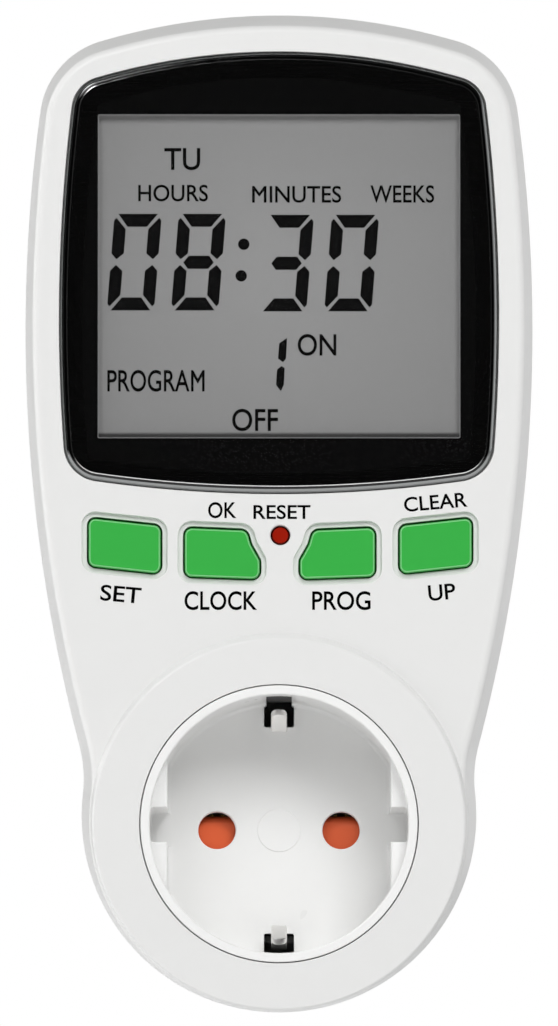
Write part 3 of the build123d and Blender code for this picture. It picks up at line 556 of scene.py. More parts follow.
# %% Cutters of the outlet
def disc_strip(half, radius, corner=0.8, turned=False):
    """A disc cut off by two flats at x = -half and half, with rounded corners.  A corner's centre
    is at x = half - corner, a radius less the corner away from the middle.  Turned, the flats lie
    at z = -half and half."""
    x = half - corner
    z = np.sqrt((radius - corner) ** 2 - x**2)
    middle, upper = np.zeros(2), np.array([x, z])
    end = towards(middle, upper, radius)
    arcs = [arc(upper, (half, z), end, 6), arc(middle, end, end * FLIP, 70)]
    arcs.append(arc(upper * FLIP, end * FLIP, (-half, z), 6, whole=True))
    arcs += [(-points, -normals) for points, normals in arcs]
    points, normals = joined(arcs)
    if turned:
        points, normals = (np.column_stack([-a[:, 1], a[:, 0]]) for a in (points, normals))
    return points, normals


def flats_only(shape, half, axis=0):
    """The same outline, where only its flats move when it is inset: a normal fades out, by the
    square of how far along the axis its point has left the flat."""
    points, normals = shape
    reach = np.clip((np.abs(points[:, axis]) - (half - 0.8)) / 0.8, 0, 1) ** 2
    return points, normals * reach[:, None] * np.eye(2)[axis]


def facing_back(pairs, start):
    """Pairs worked out for a station of 0, turned to face backwards at another station."""
    return [(inset, start - station) for inset, station in pairs[::-1]]


def blank(half_w, low, high, start, end, radius=0.3):
    """A plain cutter or block with a rounded rectangle for its outline."""
    return stack(box_outline(half_w, low, high, radius), [(0, start), (0, end)])


floor_back, recess_floor, flange_back, guide_front = 36.5, 38.5, 50.7, 53.5
insert_r, flange_r = 21.1, 23.4
pin_x, pin_hole_r, centre_boss_r, guide_flat, keyway_half = 9.5, 2.85, 3.3, 17.0, 2.65
cup = [(insert_r, floor_back), (insert_r, flange_back), (flange_r, flange_back)]
cup += [(flange_r, face_inner), (insert_r, face_inner)]
cup += [(insert_r, ring_front - 0.12), (insert_r - 0.12, ring_front)]
insert = piece("socket_insert_skin", drum(cup, count=240))
add(insert, *rods(2.5, flange_back, face_inner, insert_screws_at))
rim = [(recess_r - i, s) for i, s in flare(0.35, ring_front, 6)]
cut(insert, drum([(recess_r, guide_front)] + rim, count=240))

well = disc_strip(guide_flat, recess_r - 0.01)  # clear of the mouth, whose facets differ
low_part = facing_back(round_over(0.75, 0, 6), recess_floor) + [(0, guide_front - 1)]
mouth = stack(flats_only(well, guide_flat), flare(0.4, guide_front, 5))
cut(insert, np.concatenate([stack(well, low_part), mouth]))
keyway = disc_strip(keyway_half, recess_r - 0.01, 0.5, turned=True)
keyway_floor = recess_floor + 0.02  # a hair higher, so that no two cutters share a plane
low_part = facing_back(round_over(0.4, 0), keyway_floor) + [(0, guide_front - 1)]
mouth = stack(flats_only(keyway, keyway_half, 1), flare(0.25, guide_front))
cut(insert, np.concatenate([stack(keyway, low_part), mouth]))

# %% Holes, slots and bosses of the insert
boss = [(centre_boss_r, recess_floor - 0.5)]
boss += [(centre_boss_r - i, s) for i, s in round_over(0.12, recess_floor + 0.14, 3)]
carrier_screws_at = [(12.5, 12.5), (-12.5, -12.5)]
bosses = [drum(boss, count=96), drum([(1.6, 33.1), (1.6, floor_back + 0.5)], count=48)]
bosses += rods(2.6, 34.1, floor_back + 0.5, carrier_screws_at)
add(insert, *bosses)
cuts = [
    opening(circle(pin_hole_r, 96, (x, 0)), 0, floor_back - 1, recess_floor, 0.3)
    for x in (-pin_x, pin_x)
]
cuts += rods(1.3, 33, 37.5, carrier_screws_at) + rods(1.15, 50, 53, insert_screws_at, 24)
for side in (-1, 1):
    floor_slot, wall_slot = sorted((side * 15.8, side * 19.1)), sorted((side * 18.6, side * 20.45))
    cuts.append(blank(2.3, *floor_slot, floor_back - 1, recess_floor + 0.5))
    cut(insert, blank(1.95, *wall_slot, floor_back - 1, 52.2))
cut(insert, *cuts)
thermoset = moulded("#F3F3F2", 0.3, 0.3, 0.002, 0.01, IOR=1.55)
dress(insert, material("white_thermoset", thermoset))
settle(smooth(insert), "case", "insert_white", "socket_insert")

# %% [markdown]
# ## Rear shell
# The other half of the case carries the plug: a round boss with two flats, a rib on each, and a
# slot at its top and bottom for the earth strips.  Its seam with the front shell is a fine line,
# so both halves lose a hair of their edge there.  The same rings and cutters build it.

# %% Rear shell
rear_inner, boss_wall, boss_end, boss_r, boss_flat = 19.0, 2.3, 3.0, 18.5, 16.7
rear_pairs = facing_back(round_over(2.5, 0, 8), back) + [(0, parting - 0.12), (0.12, parting)]
rear = piece("rear_shell_skin", stack(case_ring, rear_pairs))
lip_pairs = [(lap_skin + 0.1, parting - 1), (lap_skin + 0.1, parting + 1.75)]
lip_pairs.append((lap_skin + 0.25, parting + 1.9))
add(rear, stack(case_ring, lip_pairs))
cut(rear, stack(case_ring, [(wall, rear_inner), (wall, parting), (wall, parting + 3)]))
cut(rear, *rods(2.9, parting, parting + 3, case_screws_at))
power_posts_at = [(x, z) for x in (-26.5, 26.5) for z in (31.5, 102.5)]
posts = rods(3.4, back + 0.5, parting - 0.1, case_screws_at, 40)
add(rear, *posts, *rods(2.6, back + 0.5, 21.5, power_posts_at))

boss_pairs = facing_back(round_over(0.8, 0, 6), 0) + [(0, back + 1)]
add(rear, stack(disc_strip(boss_flat, boss_r, 0.85), boss_pairs))
rib_pairs = facing_back(round_over(0.8, 0, 6), 0.01) + [(0, back + 1.2)]
add(rear, stack(disc_strip(2.3, boss_r - 0.01, 0.85, turned=True), rib_pairs))
hollow_shape = disc_strip(boss_flat - boss_wall, boss_r - boss_wall)
cut(rear, stack(hollow_shape, [(0, boss_end), (0, rear_inner + 0.5)]))
earth_sleeve_at = (0, 10)
add(rear, *rods(4.2, boss_end - 1, 14.1, [earth_sleeve_at], 64))


def back_hole(radius, start, end, at, lip=0.3, count=48):
    """A round hole that is seen from behind, with a rounded lip at its rear mouth."""
    pairs = facing_back(flare(lip, 0), start) + [(0, end)]
    return stack(circle(radius, count, at), pairs)


cuts = [back_hole(3.0, 0, 14.6, earth_sleeve_at, 0.35, 64)]
cuts += [back_hole(2.75, 0, boss_end + 0.5, (x, 0), 0.15) for x in (-pin_x, pin_x)]
cuts += [back_hole(2.9, back, 41.7, at) for at in case_screws_at]
cut(rear, *cuts)
cuts = rods(1.5, 41, parting + 1, case_screws_at, 24)
cut(rear, *cuts, *rods(1.15, 18, 22, power_posts_at, 24))
for side in (-1, 1):
    slot, through = sorted((side * 17.1, side * 19.5)), sorted((side * 13.9, side * 18.5))
    cut(rear, blank(2.6, *slot, 2.0, back))
    cut(rear, blank(2.6, *through, 14.0, back))
dress(rear, white_abs)
settle(smooth(rear), "case", "shell_white", "rear_shell")

# %% [markdown]
# ## Lens and display
# The lens is one plate of acrylic, with black printed behind all of it but the window.  Its edge
# is a polished round that stays clear, and ends in a fine flat beside the front.  One solid could
# be clear acrylic over a black film, but seen through it the film would need many light paths.
# So the mesh has four finishes: black, a window that is nearly invisible but keeps its gloss, a
# rounded edge that mirrors the room as clear plastic does, and the fine flat, a brighter mirror
# whose extra brightness is a painted highlight.

# %% Lens
def loops_to_faces(*loops):
    """Triangles, as indices, between an outer loop and the loops inside it."""
    return tessellate_polygon([[(x, z, 0) for x, z in loop] for loop in loops])


lens_front, lens_back, bevel_w, bevel_h, arris_w = 55.0, 53.4, 1.1, 0.8, 0.13
angle = radians(83) * np.linspace(0, 1, 13)
heights = lens_front - 0.02 - bevel_h * (1 - np.sin(angle))
lens_pairs = [(0, lens_back), *zip(bevel_w * (1 - np.cos(angle)), heights)]
lens_pairs.append((lens_pairs[-1][0] + arris_w, lens_front))
rings = stack(lens_shape, lens_pairs)
count, size = rings.shape[:2]
window_frame = box_outline(window_half, window_low, window_high, 0.25)
window_shape = window_frame[0]
verts = np.concatenate([rings.reshape(-1, 3), place(window_shape, lens_back)])
index = np.arange(count * size).reshape(count, size)
pane = count * size + np.arange(len(window_shape))
outer = rings[0][:, [0, 2]] / MM
flat = np.array(loops_to_faces(outer, window_shape))
corners = np.concatenate([outer, window_shape])[flat]
turn = np.cross(corners[:, 1] - corners[:, 0], corners[:, 2] - corners[:, 0]) > 0
flat[turn] = flat[turn][:, ::-1]
mask = np.concatenate([index[0], pane])[flat]
faces = quads_along(index) + mask.tolist() + [pane[::-1].tolist(), index[-1].tolist()]
black, clear, edge, arris = range(4)
finish = np.repeat([edge, edge, black, arris], np.array([1, 9, 3, 1]) * size).tolist()
finish += [black] * len(mask) + [clear, clear]
lens = mesh_object("display_lens_skin", verts.tolist(), faces)
# In the order of the indices: the bevel is a dim, smooth mirror, and the fine flat a bright one,
# whose brighter colour is a painted highlight along the lens's inner edge.
finishes = {
    "acrylic_black": polished("#020202", 0.03, 0.06, 6.0, IOR=1.49),
    "acrylic_window": polished("#686868", 0.04, 0.04, IOR=1.49, Alpha=0.02),
    "acrylic_bevel": polished("#A0A2A2", 0.1, 0.18, Metallic=1.0),
    # A brighter mirror than the bevel, which paints a highlight along the inner edge.
    "arris_painted_highlight": polished("#E8E8E8", 0.1, 0.16, Metallic=1.0),
}
dress(lens, *(material(name, shader) for name, shader in finishes.items()))
lens.data.polygons.foreach_set("material_index", finish)
settle(smooth(lens, 9), "case", "lens_black", "display_lens")

# The black mask's window edge is a thin ring, painted a paler grey as a highlight where that
# edge catches light.
mask_edge = piece("mask_edge", stack(window_frame, [(-0.05, 53.1), (-0.05, 53.38)]))
cut(mask_edge, stack(window_frame, [(0.1, 53.0), (0.1, 53.5)]))
# The paler grey is a painted highlight.
edge_highlight_grey = moulded("#8C8C8C", 0.4, 0.2, 0.001, 0.03)
dress(mask_edge, material("window_edge_painted_highlight", edge_highlight_grey))
settle(smooth(mask_edge), "case", "lens_black")

# %% [markdown]
# The display's front film is grey, with a painted pool of light that makes it lighter in the
# middle.  What it shows is drawn as thin prints on it: four large slanted figures, whose seven
# bars are cut at 45 degrees where they meet, a small figure one, and words.  Words are Blender
# text, made a mesh and stretched to their own boxes.

# %% Figures on the display
film_front, print_t = 52.15, 0.03
bar_h, bar_w, slant = 14.78, 7.23, 0.08
top_bar = [(0.6, 0), (6.63, 0), (5.1, 1.97), (2.12, 1.97)]
side_bar = [(0, 1.04), (0.36, 0.6), (1.9, 2.35), (1.9, 6.05), (0.83, 6.95), (0, 6.05)]
middle_bar = [(1.29, 7.44), (2.05, 6.42), (5.18, 6.42), (5.94, 7.44), (5.18, 8.42), (2.05, 8.42)]
across = [(bar_w - x, down) for x, down in side_bar]
bars = {"a": top_bar, "f": side_bar, "b": across, "g": middle_bar}
for bar, twin in (("d", "a"), ("e", "f"), ("c", "b")):
    bars[bar] = [(x, bar_h - down) for x, down in bars[twin]]
figures = [("abcdef", -25.6, 93.5), ("abcdefg", -15.8, 93.5), ("abcdg", -2.35, 93.35)]
figures.append(("abcdef", 7.6, 93.35))
foot_z = 87.4


def print_of(points):
    """A thin closed print of an outline, turned anticlockwise first: twice its area, summed from
    the cross products of neighbouring points, tells which way it runs."""
    points = np.array(points, float)
    following = np.roll(points, -1, 0)
    area = np.sum(points[:, 0] * following[:, 1] - points[:, 1] * following[:, 0])
    points = points if area > 0 else points[::-1]
    return np.array([place(points, film_front), place(points, film_front + print_t)])


shapes = []
for lit, left, top in figures:
    for bar in lit:
        spots = np.array(bars[bar])
        z = top - spots[:, 1]
        x = left + spots[:, 0] + slant * (z - foot_z)
        shapes.append(np.column_stack([x, z]))
shapes += [circle(0.87, 32, at)[0] for at in ((-5.38, 88.85), (-5.77, 84.0))]
shapes.append([(1.23, 74.49), (0.03, 73.65), (-0.15, 71.34), (0.62, 70.77), (1.07, 71.34)])
lower_one = [(0.38, 70.19), (0.87, 69.87), (0.75, 67.33), (0.27, 66.35), (-0.46, 67.33)]
shapes.append(lower_one + [(-0.3, 69.64)])
letter_m = [(0, 0), (0.19, 0), (0.19, 0.7), (0.5, 0.36), (0.81, 0.7), (0.81, 0), (1, 0), (1, 1)]
letter_m = np.array(letter_m + [(0.84, 1), (0.5, 0.6), (0.16, 1), (0, 1)])
for left, foot, size in ((-4.11, 95.23, (2.2, 2.54)), (-13.43, 66.29, (2.08, 3.27))):
    shapes.append(letter_m * size + (left, foot))
digits = piece("display_digits", *map(print_of, shapes))
print(len(shapes), "bars, dots and letters M")


# %% Words
# The font's own M folds over itself when it is made bolder, so the two of them are prints above.
def lettering(name, words, station, thickness=0.02, weight=0.013):
    """Words as thin closed prints.  Each is (text, left, low, right, high, degrees); the box holds
    the turned word, so its own width is (W cos t - H sin t) / cos 2t, and its height likewise."""
    sheet = bmesh.new()
    for text, left, low, right, high, degrees in words:
        curve = bpy.data.curves.new(name, "FONT")
        curve.body, curve.extrude, curve.resolution_u, curve.offset = text, 0.5, 5, weight
        shape = bpy.data.objects.new(name, curve)
        mesh = bpy.data.meshes.new_from_object(shape)
        spots = np.empty(len(mesh.vertices) * 3)
        mesh.vertices.foreach_get("co", spots)
        spots = spots.reshape(-1, 3)
        t = radians(degrees)
        wide, tall = right - left, high - low
        c, s = np.cos(t), abs(np.sin(t))
        size = np.array([wide * c - tall * s, tall * c - wide * s]) / np.cos(2 * t)
        flat = spots[:, :2]
        flat = (flat - flat.min(0)) / np.ptp(flat, 0) * size - size / 2
        turn = np.array([[np.cos(t), -np.sin(t)], [np.sin(t), np.cos(t)]])
        middle = np.array([left + right, low + high]) / 2
        flat = flat @ turn.T + middle
        depth = station + (spots[:, 2] + 0.5) * thickness
        mesh.vertices.foreach_set("co", place(flat, depth).ravel())
        sheet.from_mesh(mesh)
        bpy.data.objects.remove(shape)
    bmesh.ops.remove_doubles(sheet, verts=sheet.verts, dist=1e-7)
    made = mesh_object(name, [], [])
    sheet.to_mesh(made.data)
    return made


display_words = [
    ("TU", -17.52, 100.2, -12.03, 103.6, 0),
    ("HOURS", -21.5, 95.4, -10.85, 97.98, 0),
    ("INUTES", -1.43, 95.2, 9.5, 97.8, 0),
    ("WEEKS", 13.95, 95.2, 23.7, 97.9, 0),
    ("ON", 2.85, 71.75, 8.75, 75.1, 0),
    ("PROGRA", -26.2, 66.25, -13.65, 69.6, 0),
    ("OFF", -7.16, 60.2, -0.15, 63.65, 0),
]
key_words = [
    ("SET", -27.3, 33.6, -20.9, 36.6, -5),
    ("CLOCK", -14.4, 32.65, -3.35, 35.55, 0),
    ("PROG", 5.05, 32.65, 13.95, 35.55, 0),
    ("UP", 22.65, 34.0, 26.97, 36.78, 5),
    ("OK", -10.81, 46.68, -6.5, 49.16, 0),
    ("RESET", -3.9, 46.55, 4.8, 48.72, 0),
    ("CLEAR", 18.95, 47.6, 28.75, 50.7, 5),
]
symbols = lettering("display_words", display_words, film_front, print_t, 0.01)
labels = lettering("key_labels", key_words, face)
# Screen-printed ink and lit segments are dead flat, so that they hardly shine.
dead_flat = {"IOR": 1.5, "Specular IOR Level": 0.02}
segment_ink = material("segment_black", moulded("#010101", 0.7, 0.2, 0.001, 0.06, **dead_flat))
label_ink = material("label_ink", moulded("#020202", 0.6, 0.2, 0.001, 0.06, **dead_flat))
for made, finish in ((digits, segment_ink), (symbols, segment_ink), (labels, label_ink)):
    settle(dress(made, finish), "case", "lens_black")

# %% [markdown]
# ## Keys, reset button and earth clips
# A key is a cap with a flange behind the face, so that it can't fall out, and a post that pushes
# its switch.  The cap's outline inset along its normals gives the rounded edge that catches light,
# and a paler green along the top of that edge is a painted highlight.

# %% Keys and reset button
green = material("green_key_plastic", moulded("#33AE43", 0.4, 0.25, 0.003, 0.03, IOR=1.5))
# A paler green copy of the key plastic: a painted highlight along the cap's rounded top edge.
painted_highlight_green = material("key_edge_painted_highlight", moulded("#7CCB84", 0.3, 0.25, 0.001, 0.03, IOR=1.5))
key_front = 55.1
key_pairs = [(-0.8, 51.0), (-0.8, 52.0), (0, 52.0)] + round_over(0.35, key_front, 8)
for name, (shape, at) in keys.items():
    cap = piece(f"{name}_key_skin", stack(shape, key_pairs))
    add(cap, drum([(1.9, 50.4), (1.9, 51.5)], at, 48))
    dress(cap, green, painted_highlight_green)
    faces = cap.data.polygons
    middles = np.empty(len(faces) * 3)
    faces.foreach_get("center", middles)
    below = key_front + middles[1::3] / MM
    # The faces just below the cap's front take the painted highlight.
    faces.foreach_set("material_index", ((below > 0.005) & (below < 0.11)).astype(np.int32))
    settle(smooth(cap), f"{name}_key", "key_green", f"{name}_key")

button_rings = [(1.22, 50.4), (1.22, 51), (2, 51), (2, 52), (1.22, 52)]
button_rings += [(1.22 - i, s) for i, s in round_over(0.15, 54.3, 4)]
button_rings += [(0.9, 54.27), (0.5, 54.22)]
button = piece("reset_button_skin", drum(button_rings, reset_at, 64))
red = moulded("#971500", 0.45, 0.25, 0.003, 0.04, **{"Specular IOR Level": 0.12})
dress(button, material("red_button_plastic", red))
settle(smooth(button), "reset", "reset_red", "reset_button")

# %% Earth strap of the outlet
strap_t, clip_w, samples = 0.9, 2.4, 90
corners = np.array([(17.0, 30.3), (17.0, 38.5), (14.6, 43.2), (17.2, 47.6)])
along = np.concatenate([[0], np.cumsum(np.hypot(*np.diff(corners, axis=0).T))])
walk = np.linspace(0, along[-1], samples)
route = np.column_stack([np.interp(walk, along, corners[:, k]) for k in (0, 1)])
blur = 9
padded = np.pad(route, ((blur // 2,) * 2, (0, 0)), "edge")
kernel = np.ones(blur) / blur
route = np.column_stack([np.convolve(padded[:, k], kernel, "valid") for k in (0, 1)])
section = rounded([(-1, 0, 0.2), (1, 0, 0.2), (1, 1, 0.2), (-1, 1, 0.2)], 4)[0]
taper = np.sqrt(1 - np.clip((walk - (along[-1] - 1.2)) / 1.25, 0, 1) ** 2)


def clip(side):
    """A clip: the section, as wide as the strip and as thick, is carried along the route.  Its
    radius gains the section's thickness outwards, and its width follows a quarter circle at the
    tip."""
    x = section[None, :, 0] * taper[:, None] * clip_w / 2
    z = side * (route[:, 0, None] + section[None, :, 1] * strap_t)
    y = -np.broadcast_to(route[:, 1, None], x.shape)
    rings = np.stack([x, y, z], -1) * MM
    return rings if side > 0 else rings[:, ::-1]


strap = piece("socket_earth_strap_skin", clip(1), clip(-1))
add(strap, blank(2.0, -14.2, 14.2, 30.2, 31.1), blank(1.2, -17.5, 17.5, 30.25, 31.05))
dress(strap, material("nickel_plated_strip", metal("#F3F2F0", 0.38)))
settle(smooth(strap), "case", "earth_metal", "socket_earth_strap")

# %% Dark strips in the clip slots
# Dark grey strips stand in the wall slots, behind the clips, and make the slots look dark.  Their
# finish is dull, so they hardly shine even where they are seen edge-on.
slot_strip_stacks = [blank(1.9, *sorted((k * 19.75, k * 20.4)), 36.6, 52.1, 0.2) for k in (-1, 1)]
slot_strips = piece("dark_slot_strips", *slot_strip_stacks)
dull = {"Specular IOR Level": 0.05}
slot_grey = material("dark_slot_grey", moulded("#5A5A5A", 0.95, 0.3, 0.006, 0.06, **dull))
dress(slot_strips, slot_grey)
settle(smooth(slot_strips), "case", "switch_black")

# %% Safety shutter
# An orange bar turns on the centre boss and closes both pin holes.  The upper edge of each end is
# a round ramp, by which a pin pushes the bar aside, and the hole's own edge keeps it in the shade.
shutter_back, shutter_front, lobe_r, hub_r = 34.4, 36.2, 3.45, 4.2
edges, thinner = (
    facing_back(round_over(0.2, 0, 3), shutter_back + k) + round_over(0.2, shutter_front - k, 3)
    for k in (0, 0.2)
)
shutter = piece("safety_shutter_skin", drum([(hub_r - i, s) for i, s in edges], count=96))
add(shutter, stack(box_outline(pin_x, -2.5, 2.5), thinner))
ramp_low, ramp_high, ramp_back = 0.2, 2.35, shutter_back + 0.2
angle = np.linspace(0, pi / 2, 13)
rise, depth = ramp_high - ramp_low, shutter_front - ramp_back
ramp = [(ramp_high, shutter_back - 1)]
ramp += zip(ramp_low + rise * np.cos(angle), ramp_back + depth * np.sin(angle))
ramp.append((ramp_low, shutter_front + 1))
for x in (-pin_x, pin_x):
    add(shutter, drum([(lobe_r - i, s) for i, s in edges], (x, 0), 96))
    above = [place(box_outline(3.7, z, 5, 0.3)[0] + np.array([x, 0]), s) for z, s in ramp]
    cut(shutter, np.array(above))
cut(shutter, drum([(1.66, 34), (1.66, 37)], count=48))
cut(shutter, blank(0.4, -8.4, 0.9 - hub_r, 34, 37, 0.1))
orange = moulded("#EC6A3E", 0.42, 0.3, 0.004, 0.04, IOR=1.48)
dress(shutter, material("orange_acetal", orange))
settle(smooth(shutter), "shutter", "shutter_orange", "safety_shutter")

# %% Shutter spring
# The flat spring stands on edge in the carrier, and its tip lies in the hub's notch.  It bends
# between the two as the bar turns; here its blade is built straight, with a ring every half
# millimetre.
low, high = (np.array(corner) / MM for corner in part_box("shutter_spring"))
foot_z, tip_z, blade_half, side_gap = low[2] + 0.6, high[2], 0.15, 0.2
back_y, front_y = -shutter_back - side_gap, -shutter_front + side_gap
across = [(-blade_half, front_y), (blade_half, front_y)]
across += [(x, back_y) for x, y in across[::-1]]
blade = [[(x, y, z) for x, y in across] for z in np.arange(tip_z, foot_z, -0.5)[::-1]]
spring = piece("shutter_spring_skin", blank(0.6, low[2], foot_z + 0.6, -high[1], -low[1], 0.1))
add(spring, np.array(blade) * MM)
dress(spring, material("spring_steel", metal("#A9ABAE", 0.22)))
smooth(spring)
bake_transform(spring)
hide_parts("shutter_spring")

# %% Plug pins
pin_r, pin_length, tip_r = 2.4, 19.0, 1.9
shaft = [(pin_r - i, s) for i, s in facing_back(round_over(tip_r, 0, 10), -pin_length)]
shaft += [(pin_r, -0.05), (2.7, 0.0), (2.7, 3), (3.6, 3), (3.6, 4.5), (1.8, 4.5), (1.8, 7.5)]
turned_nickel = ("#D2D0CA", 0.22, 0.15, 0.001, 0.05)
nickel = material("turned_nickel_brass", metal(*turned_nickel))
for name, x in (("live", -pin_x), ("neutral", pin_x)):
    pin = dress(piece(f"{name}_pin_skin", drum(shaft, (x, 0), 64)), nickel)
    settle(smooth(pin), "case", "pin_brass", f"{name}_pin")

# %% [markdown]
# ## Finishes of the inner parts
# The parts inside the case keep their solids.  Each takes a finish by its slot in the record, and
# a small modifier welds its loose triangles and shades its curved sides smoothly, so that a turned
# can or a screw doesn't look faceted when the case is opened.

# %% Smoothing without touching a mesh
def soften_group(degrees=30):
    """Welds points that coincide, shades all faces smooth, and marks an edge sharp where its two
    faces meet at more than the angle."""
    group = bpy.data.node_groups.new("soften", "GeometryNodeTree")
    for way in ("INPUT", "OUTPUT"):
        group.interface.new_socket("Geometry", in_out=way, socket_type="NodeSocketGeometry")
    bend = node(group, "GeometryNodeInputMeshEdgeAngle").outputs["Unsigned Angle"]
    kind = {"operation": "GREATER_THAN", "data_type": "FLOAT"}
    sharp = node(group, "FunctionNodeCompare", {0: bend, 1: radians(degrees)}, **kind).outputs[0]
    shape = node(group, "NodeGroupInput").outputs[0]
    for kind, inputs, settings in (
        ("MergeByDistance", {"Distance": 1e-6}, {}),
        ("SetShadeSmooth", {"Shade Smooth": True}, {}),
        ("SetShadeSmooth", {"Selection": sharp, "Shade Smooth": False}, {"domain": "EDGE"}),
    ):
        inputs["Geometry"] = shape
        shape = node(group, "GeometryNode" + kind, inputs, **settings).outputs[0]
    node(group, "NodeGroupOutput", {"Geometry": shape})
    return group


def lcd_film(tree):
    """The display's front film: a neutral grey with a painted pool of light in the middle, and a
    dark edge below.
    """
    where = node(tree, "ShaderNodeTexCoord").outputs["Object"]
    middle = (0.0, -film_front * MM, 84.5 * MM)
    inputs = {0: where, 1: middle}
    offset = node(tree, "ShaderNodeVectorMath", inputs, operation="DISTANCE").outputs["Value"]
    split = node(tree, "ShaderNodeSeparateXYZ", {"Vector": where}).outputs
    # The ramp runs from #919191 in the middle to #838383 further out: a painted pool of light.
    ramp = node(tree, "ShaderNodeValToRGB", {"Fac": span(tree, offset, 0, 1, 0.004, 0.038)})
    ends = ramp.color_ramp.elements
    ends[0].color, ends[1].color = linear("#919191"), linear("#838383")
    edge = span(tree, split["Z"], 0.17, 1.0, 0.0597, 0.0601)
    inputs = {0: ramp.outputs["Color"], "Scale": edge}
    dim = node(tree, "ShaderNodeVectorMath", inputs, operation="SCALE").outputs["Vector"]
    rough = span(tree, noise(tree, 4.0), 0.42, 0.5)
    look = {"Base Color": dim, "Roughness": rough, "IOR": 1.5}
    return node(tree, "ShaderNodeBsdfPrincipled", look)


# %% A finish for every slot
# The material's name for each slot, then colour, roughness, grain, relief and mottle.
plastics = {
    "tape_black": ("foam_tape", "#161616", 0.85, 0.4, 0.02, 0.1),
    "reflector_film": ("brushed_reflector_film", "#9A9B99", 0.35, 0.2, 0.001, 0.03),
    "frame_grey": ("grey_polycarbonate", "#55565A", 0.45, 0.4, 0.005, 0.04),
    "zebra_rubber": ("layered_silicone", "#C9A7AC", 0.6, 0.15, 0.01, 0.12),
    "switch_black": ("black_nylon", "#1B1B1B", 0.5, 0.3, 0.006, 0.06),
    "plunger_black": ("black_acetal", "#1E1D1D", 0.35, 0.3, 0.003, 0.05),
    "board_green": ("solder_masked_board", "#1F6B3A", 0.32, 0.8, 0.01, 0.1),
    "resin_black": ("poured_black_resin", "#0B0B0C", 0.18, 1.5, 0.01, 0.1),
    "relay_black": ("black_polyester_case", "#161617", 0.42, 0.5, 0.01, 0.06),
    "capacitor_yellow": ("yellow_film_box", "#D9B02C", 0.38, 0.4, 0.005, 0.05),
    "sleeve_dark": ("shrunk_sleeve", "#23262E", 0.4, 0.8, 0.01, 0.05),
    "varistor_blue": ("dipped_blue_epoxy", "#2A5A9B", 0.28, 1.2, 0.02, 0.08),
    "resistor_tan": ("tan_resistor_coat", "#C7A77A", 0.4, 0.5, 0.008, 0.06),
    "diode_black": ("moulded_epoxy", "#17171A", 0.4, 0.3, 0.005, 0.05),
    "header_black": ("black_header_nylon", "#181818", 0.5, 0.3, 0.005, 0.05),
    "carrier_grey": ("grey_thermoset", "#3A3A3B", 0.45, 0.4, 0.006, 0.05),
}
metals = {
    "can_metal": ("drawn_steel_can", "#BFC1C2", 0.25, 0.2, 0.001, 0.04),
    "cell_steel": ("stainless_cell_can", "#C4C4C0", 0.22),
    "tab_nickel": ("nickel_strip", "#C8C4B8", 0.3),
    "pin_brass": ("nickel_plated_brass", *turned_nickel),
    "contact_brass": ("rolled_brass", "#D9B468", 0.25),
    "earth_metal": ("nickel_plated_strip", "#F3F2F0", 0.38),
    "screw_zinc": ("zinc_plated_steel", "#C2C4C6", 0.3, 0.25, 0.003, 0.08),
}
cell_glass = polished("#CFE0D8", 0.04, 0.08, IOR=1.52, Alpha=0.35)
slot_finishes = {
    "polariser_film": ("polarising_film", lcd_film),
    "display_glass": ("soda_lime_glass", cell_glass),
    "fuse_glass": ("fuse_glass", cell_glass),
}
for kind, recipes in ((moulded, plastics), (metal, metals)):
    for slot, (name, *recipe) in recipes.items():
        slot_finishes[slot] = (name, kind(*recipe))
soften = soften_group()
nodes = frame["nodes"]
shown = [part for part in frame["record"]["subparts"] if not nodes[part["node"]].hide_render]
for part in shown:
    solid, (name, shader) = nodes[part["node"]], slot_finishes[part["material_slot"]]
    dress(solid, bpy.data.materials.get(name) or material(name, shader))
    if part["node"] != "display_polariser":
        solid.modifiers.new("soften", "NODES").node_group = soften
print(len(shown), "nodes keep their solids")

# %% [markdown]
# ## Studio
# A tent of soft light: a broad key lamp in front, above and to the right, and a weaker one on the
# left, the only one that gloss mirrors.  Two low lamps beside and behind light the left skirt, one
# behind fills the top and back, and the world is even.  It is white to the camera.  Glossy rays see
# a room that is bright to the right and below and dark behind the camera, on the left and above,
# as black cards would make it, so that the lens stays black and its bevel shines on two sides.

# %% Lamps and floor
def turn_to(made, aim):
    """Turns a lamp or the camera to face a place."""
    made.rotation_euler = (Vector(aim) - made.location).to_track_quat("-Z", "Y").to_euler()


middle = np.array([0, -0.04, 0.05])
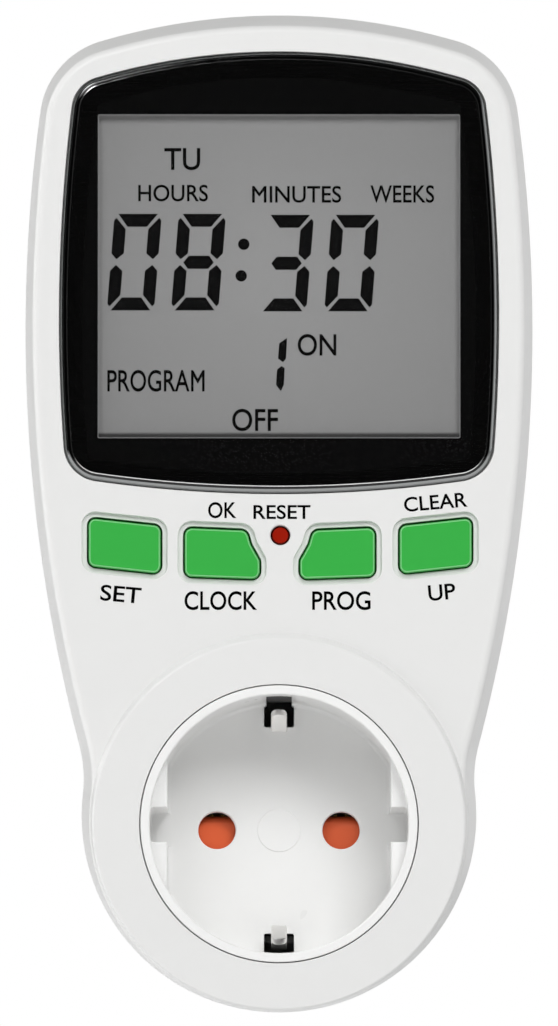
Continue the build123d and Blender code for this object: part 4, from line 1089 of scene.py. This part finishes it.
# Each lamp's bearing and height, its distance and side in metres, its level and its reflection.
lamps = [
    ("key_right", radians(20), radians(35), 1.8, 0.8, 0.58, False),
    ("key_left", radians(-25), radians(35), 1.8, 0.8, 0.26, True),
    ("left_side", radians(-75), radians(5), 1.6, 0.9, 0.16, False),
    ("left_rear", radians(-108), radians(8), 1.6, 0.9, 0.54, False),
    ("rear_fill", radians(165), radians(30), 1.8, 0.8, 0.5, False),
]
for name, side, rise, away, size, level, mirrored in lamps:
    out = np.array([sin(side) * cos(rise), -cos(side) * cos(rise), sin(rise)])
    data = bpy.data.lights.new(name, "AREA")
    data.shape, data.size, data.energy = "SQUARE", size, level * (pi * away) ** 2
    lamp = new_object(name, data)
    lamp.location, lamp.visible_camera, lamp.visible_glossy = middle + out * away, False, mirrored
    turn_to(lamp, middle)
floor_z = -0.24
corners = [(-3, -2.6, floor_z), (3, -2.6, floor_z), (3, 3, floor_z), (-3, 3, floor_z)]
floor = mesh_object("floor", corners, [(0, 1, 2, 3)])
floor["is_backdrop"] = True


def pale_card(tree):
    """Matt pale card, which takes the object's shadow."""
    return node(tree, "ShaderNodeBsdfDiffuse", {"Color": linear("#F2F2F2")})


dress(floor, material("pale_card", pale_card))

# %% World
world = bpy.data.worlds.new("studio")
scene.world = world
world.use_nodes = True
tree = world.node_tree
tree.nodes.clear()
path = node(tree, "ShaderNodeLightPath").outputs
either = {0: path["Is Camera Ray"], 1: path["Is Transmission Ray"]}
seen = node(tree, "ShaderNodeMath", either, operation="MAXIMUM").outputs["Value"]
heading = node(tree, "ShaderNodeTexCoord").outputs["Generated"]
towards_light = {0: heading, 1: (0.72, 0.35, -0.6)}
facing = node(tree, "ShaderNodeVectorMath", towards_light, operation="DOT_PRODUCT")
mirrored = span(tree, facing.outputs["Value"], 0.015, 1.0, 0.1, 0.55)
plain = span(tree, seen, 0.1, 1.0, 0, 1)
strength = span(tree, path["Is Glossy Ray"], plain, mirrored, 0, 1)
inputs = {"Color": (1, 1, 1, 1), "Strength": strength}
background = node(tree, "ShaderNodeBackground", inputs).outputs["Background"]
node(tree, "ShaderNodeOutputWorld", {"Surface": background})

# %% Camera
lens_data = bpy.data.cameras.new("camera")
lens_data.sensor_width, lens_data.lens, lens_data.clip_end = 36, 680, 20
camera = new_object("camera", lens_data)
scene.camera = camera
camera.location = (0, -3.0, -0.175)
turn_to(camera, (0, -0.056, 0.0474))
scene.view_settings.view_transform = "Standard"

# %% Sizes and finish
boxes = [[list(corner) for corner in box] for box in (cad_box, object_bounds())]
growth = [[round((b - a) / MM, 2) for a, b in zip(*pair)] for pair in zip(*boxes)]
print("the dressed part differs from its solids by", growth, "mm")
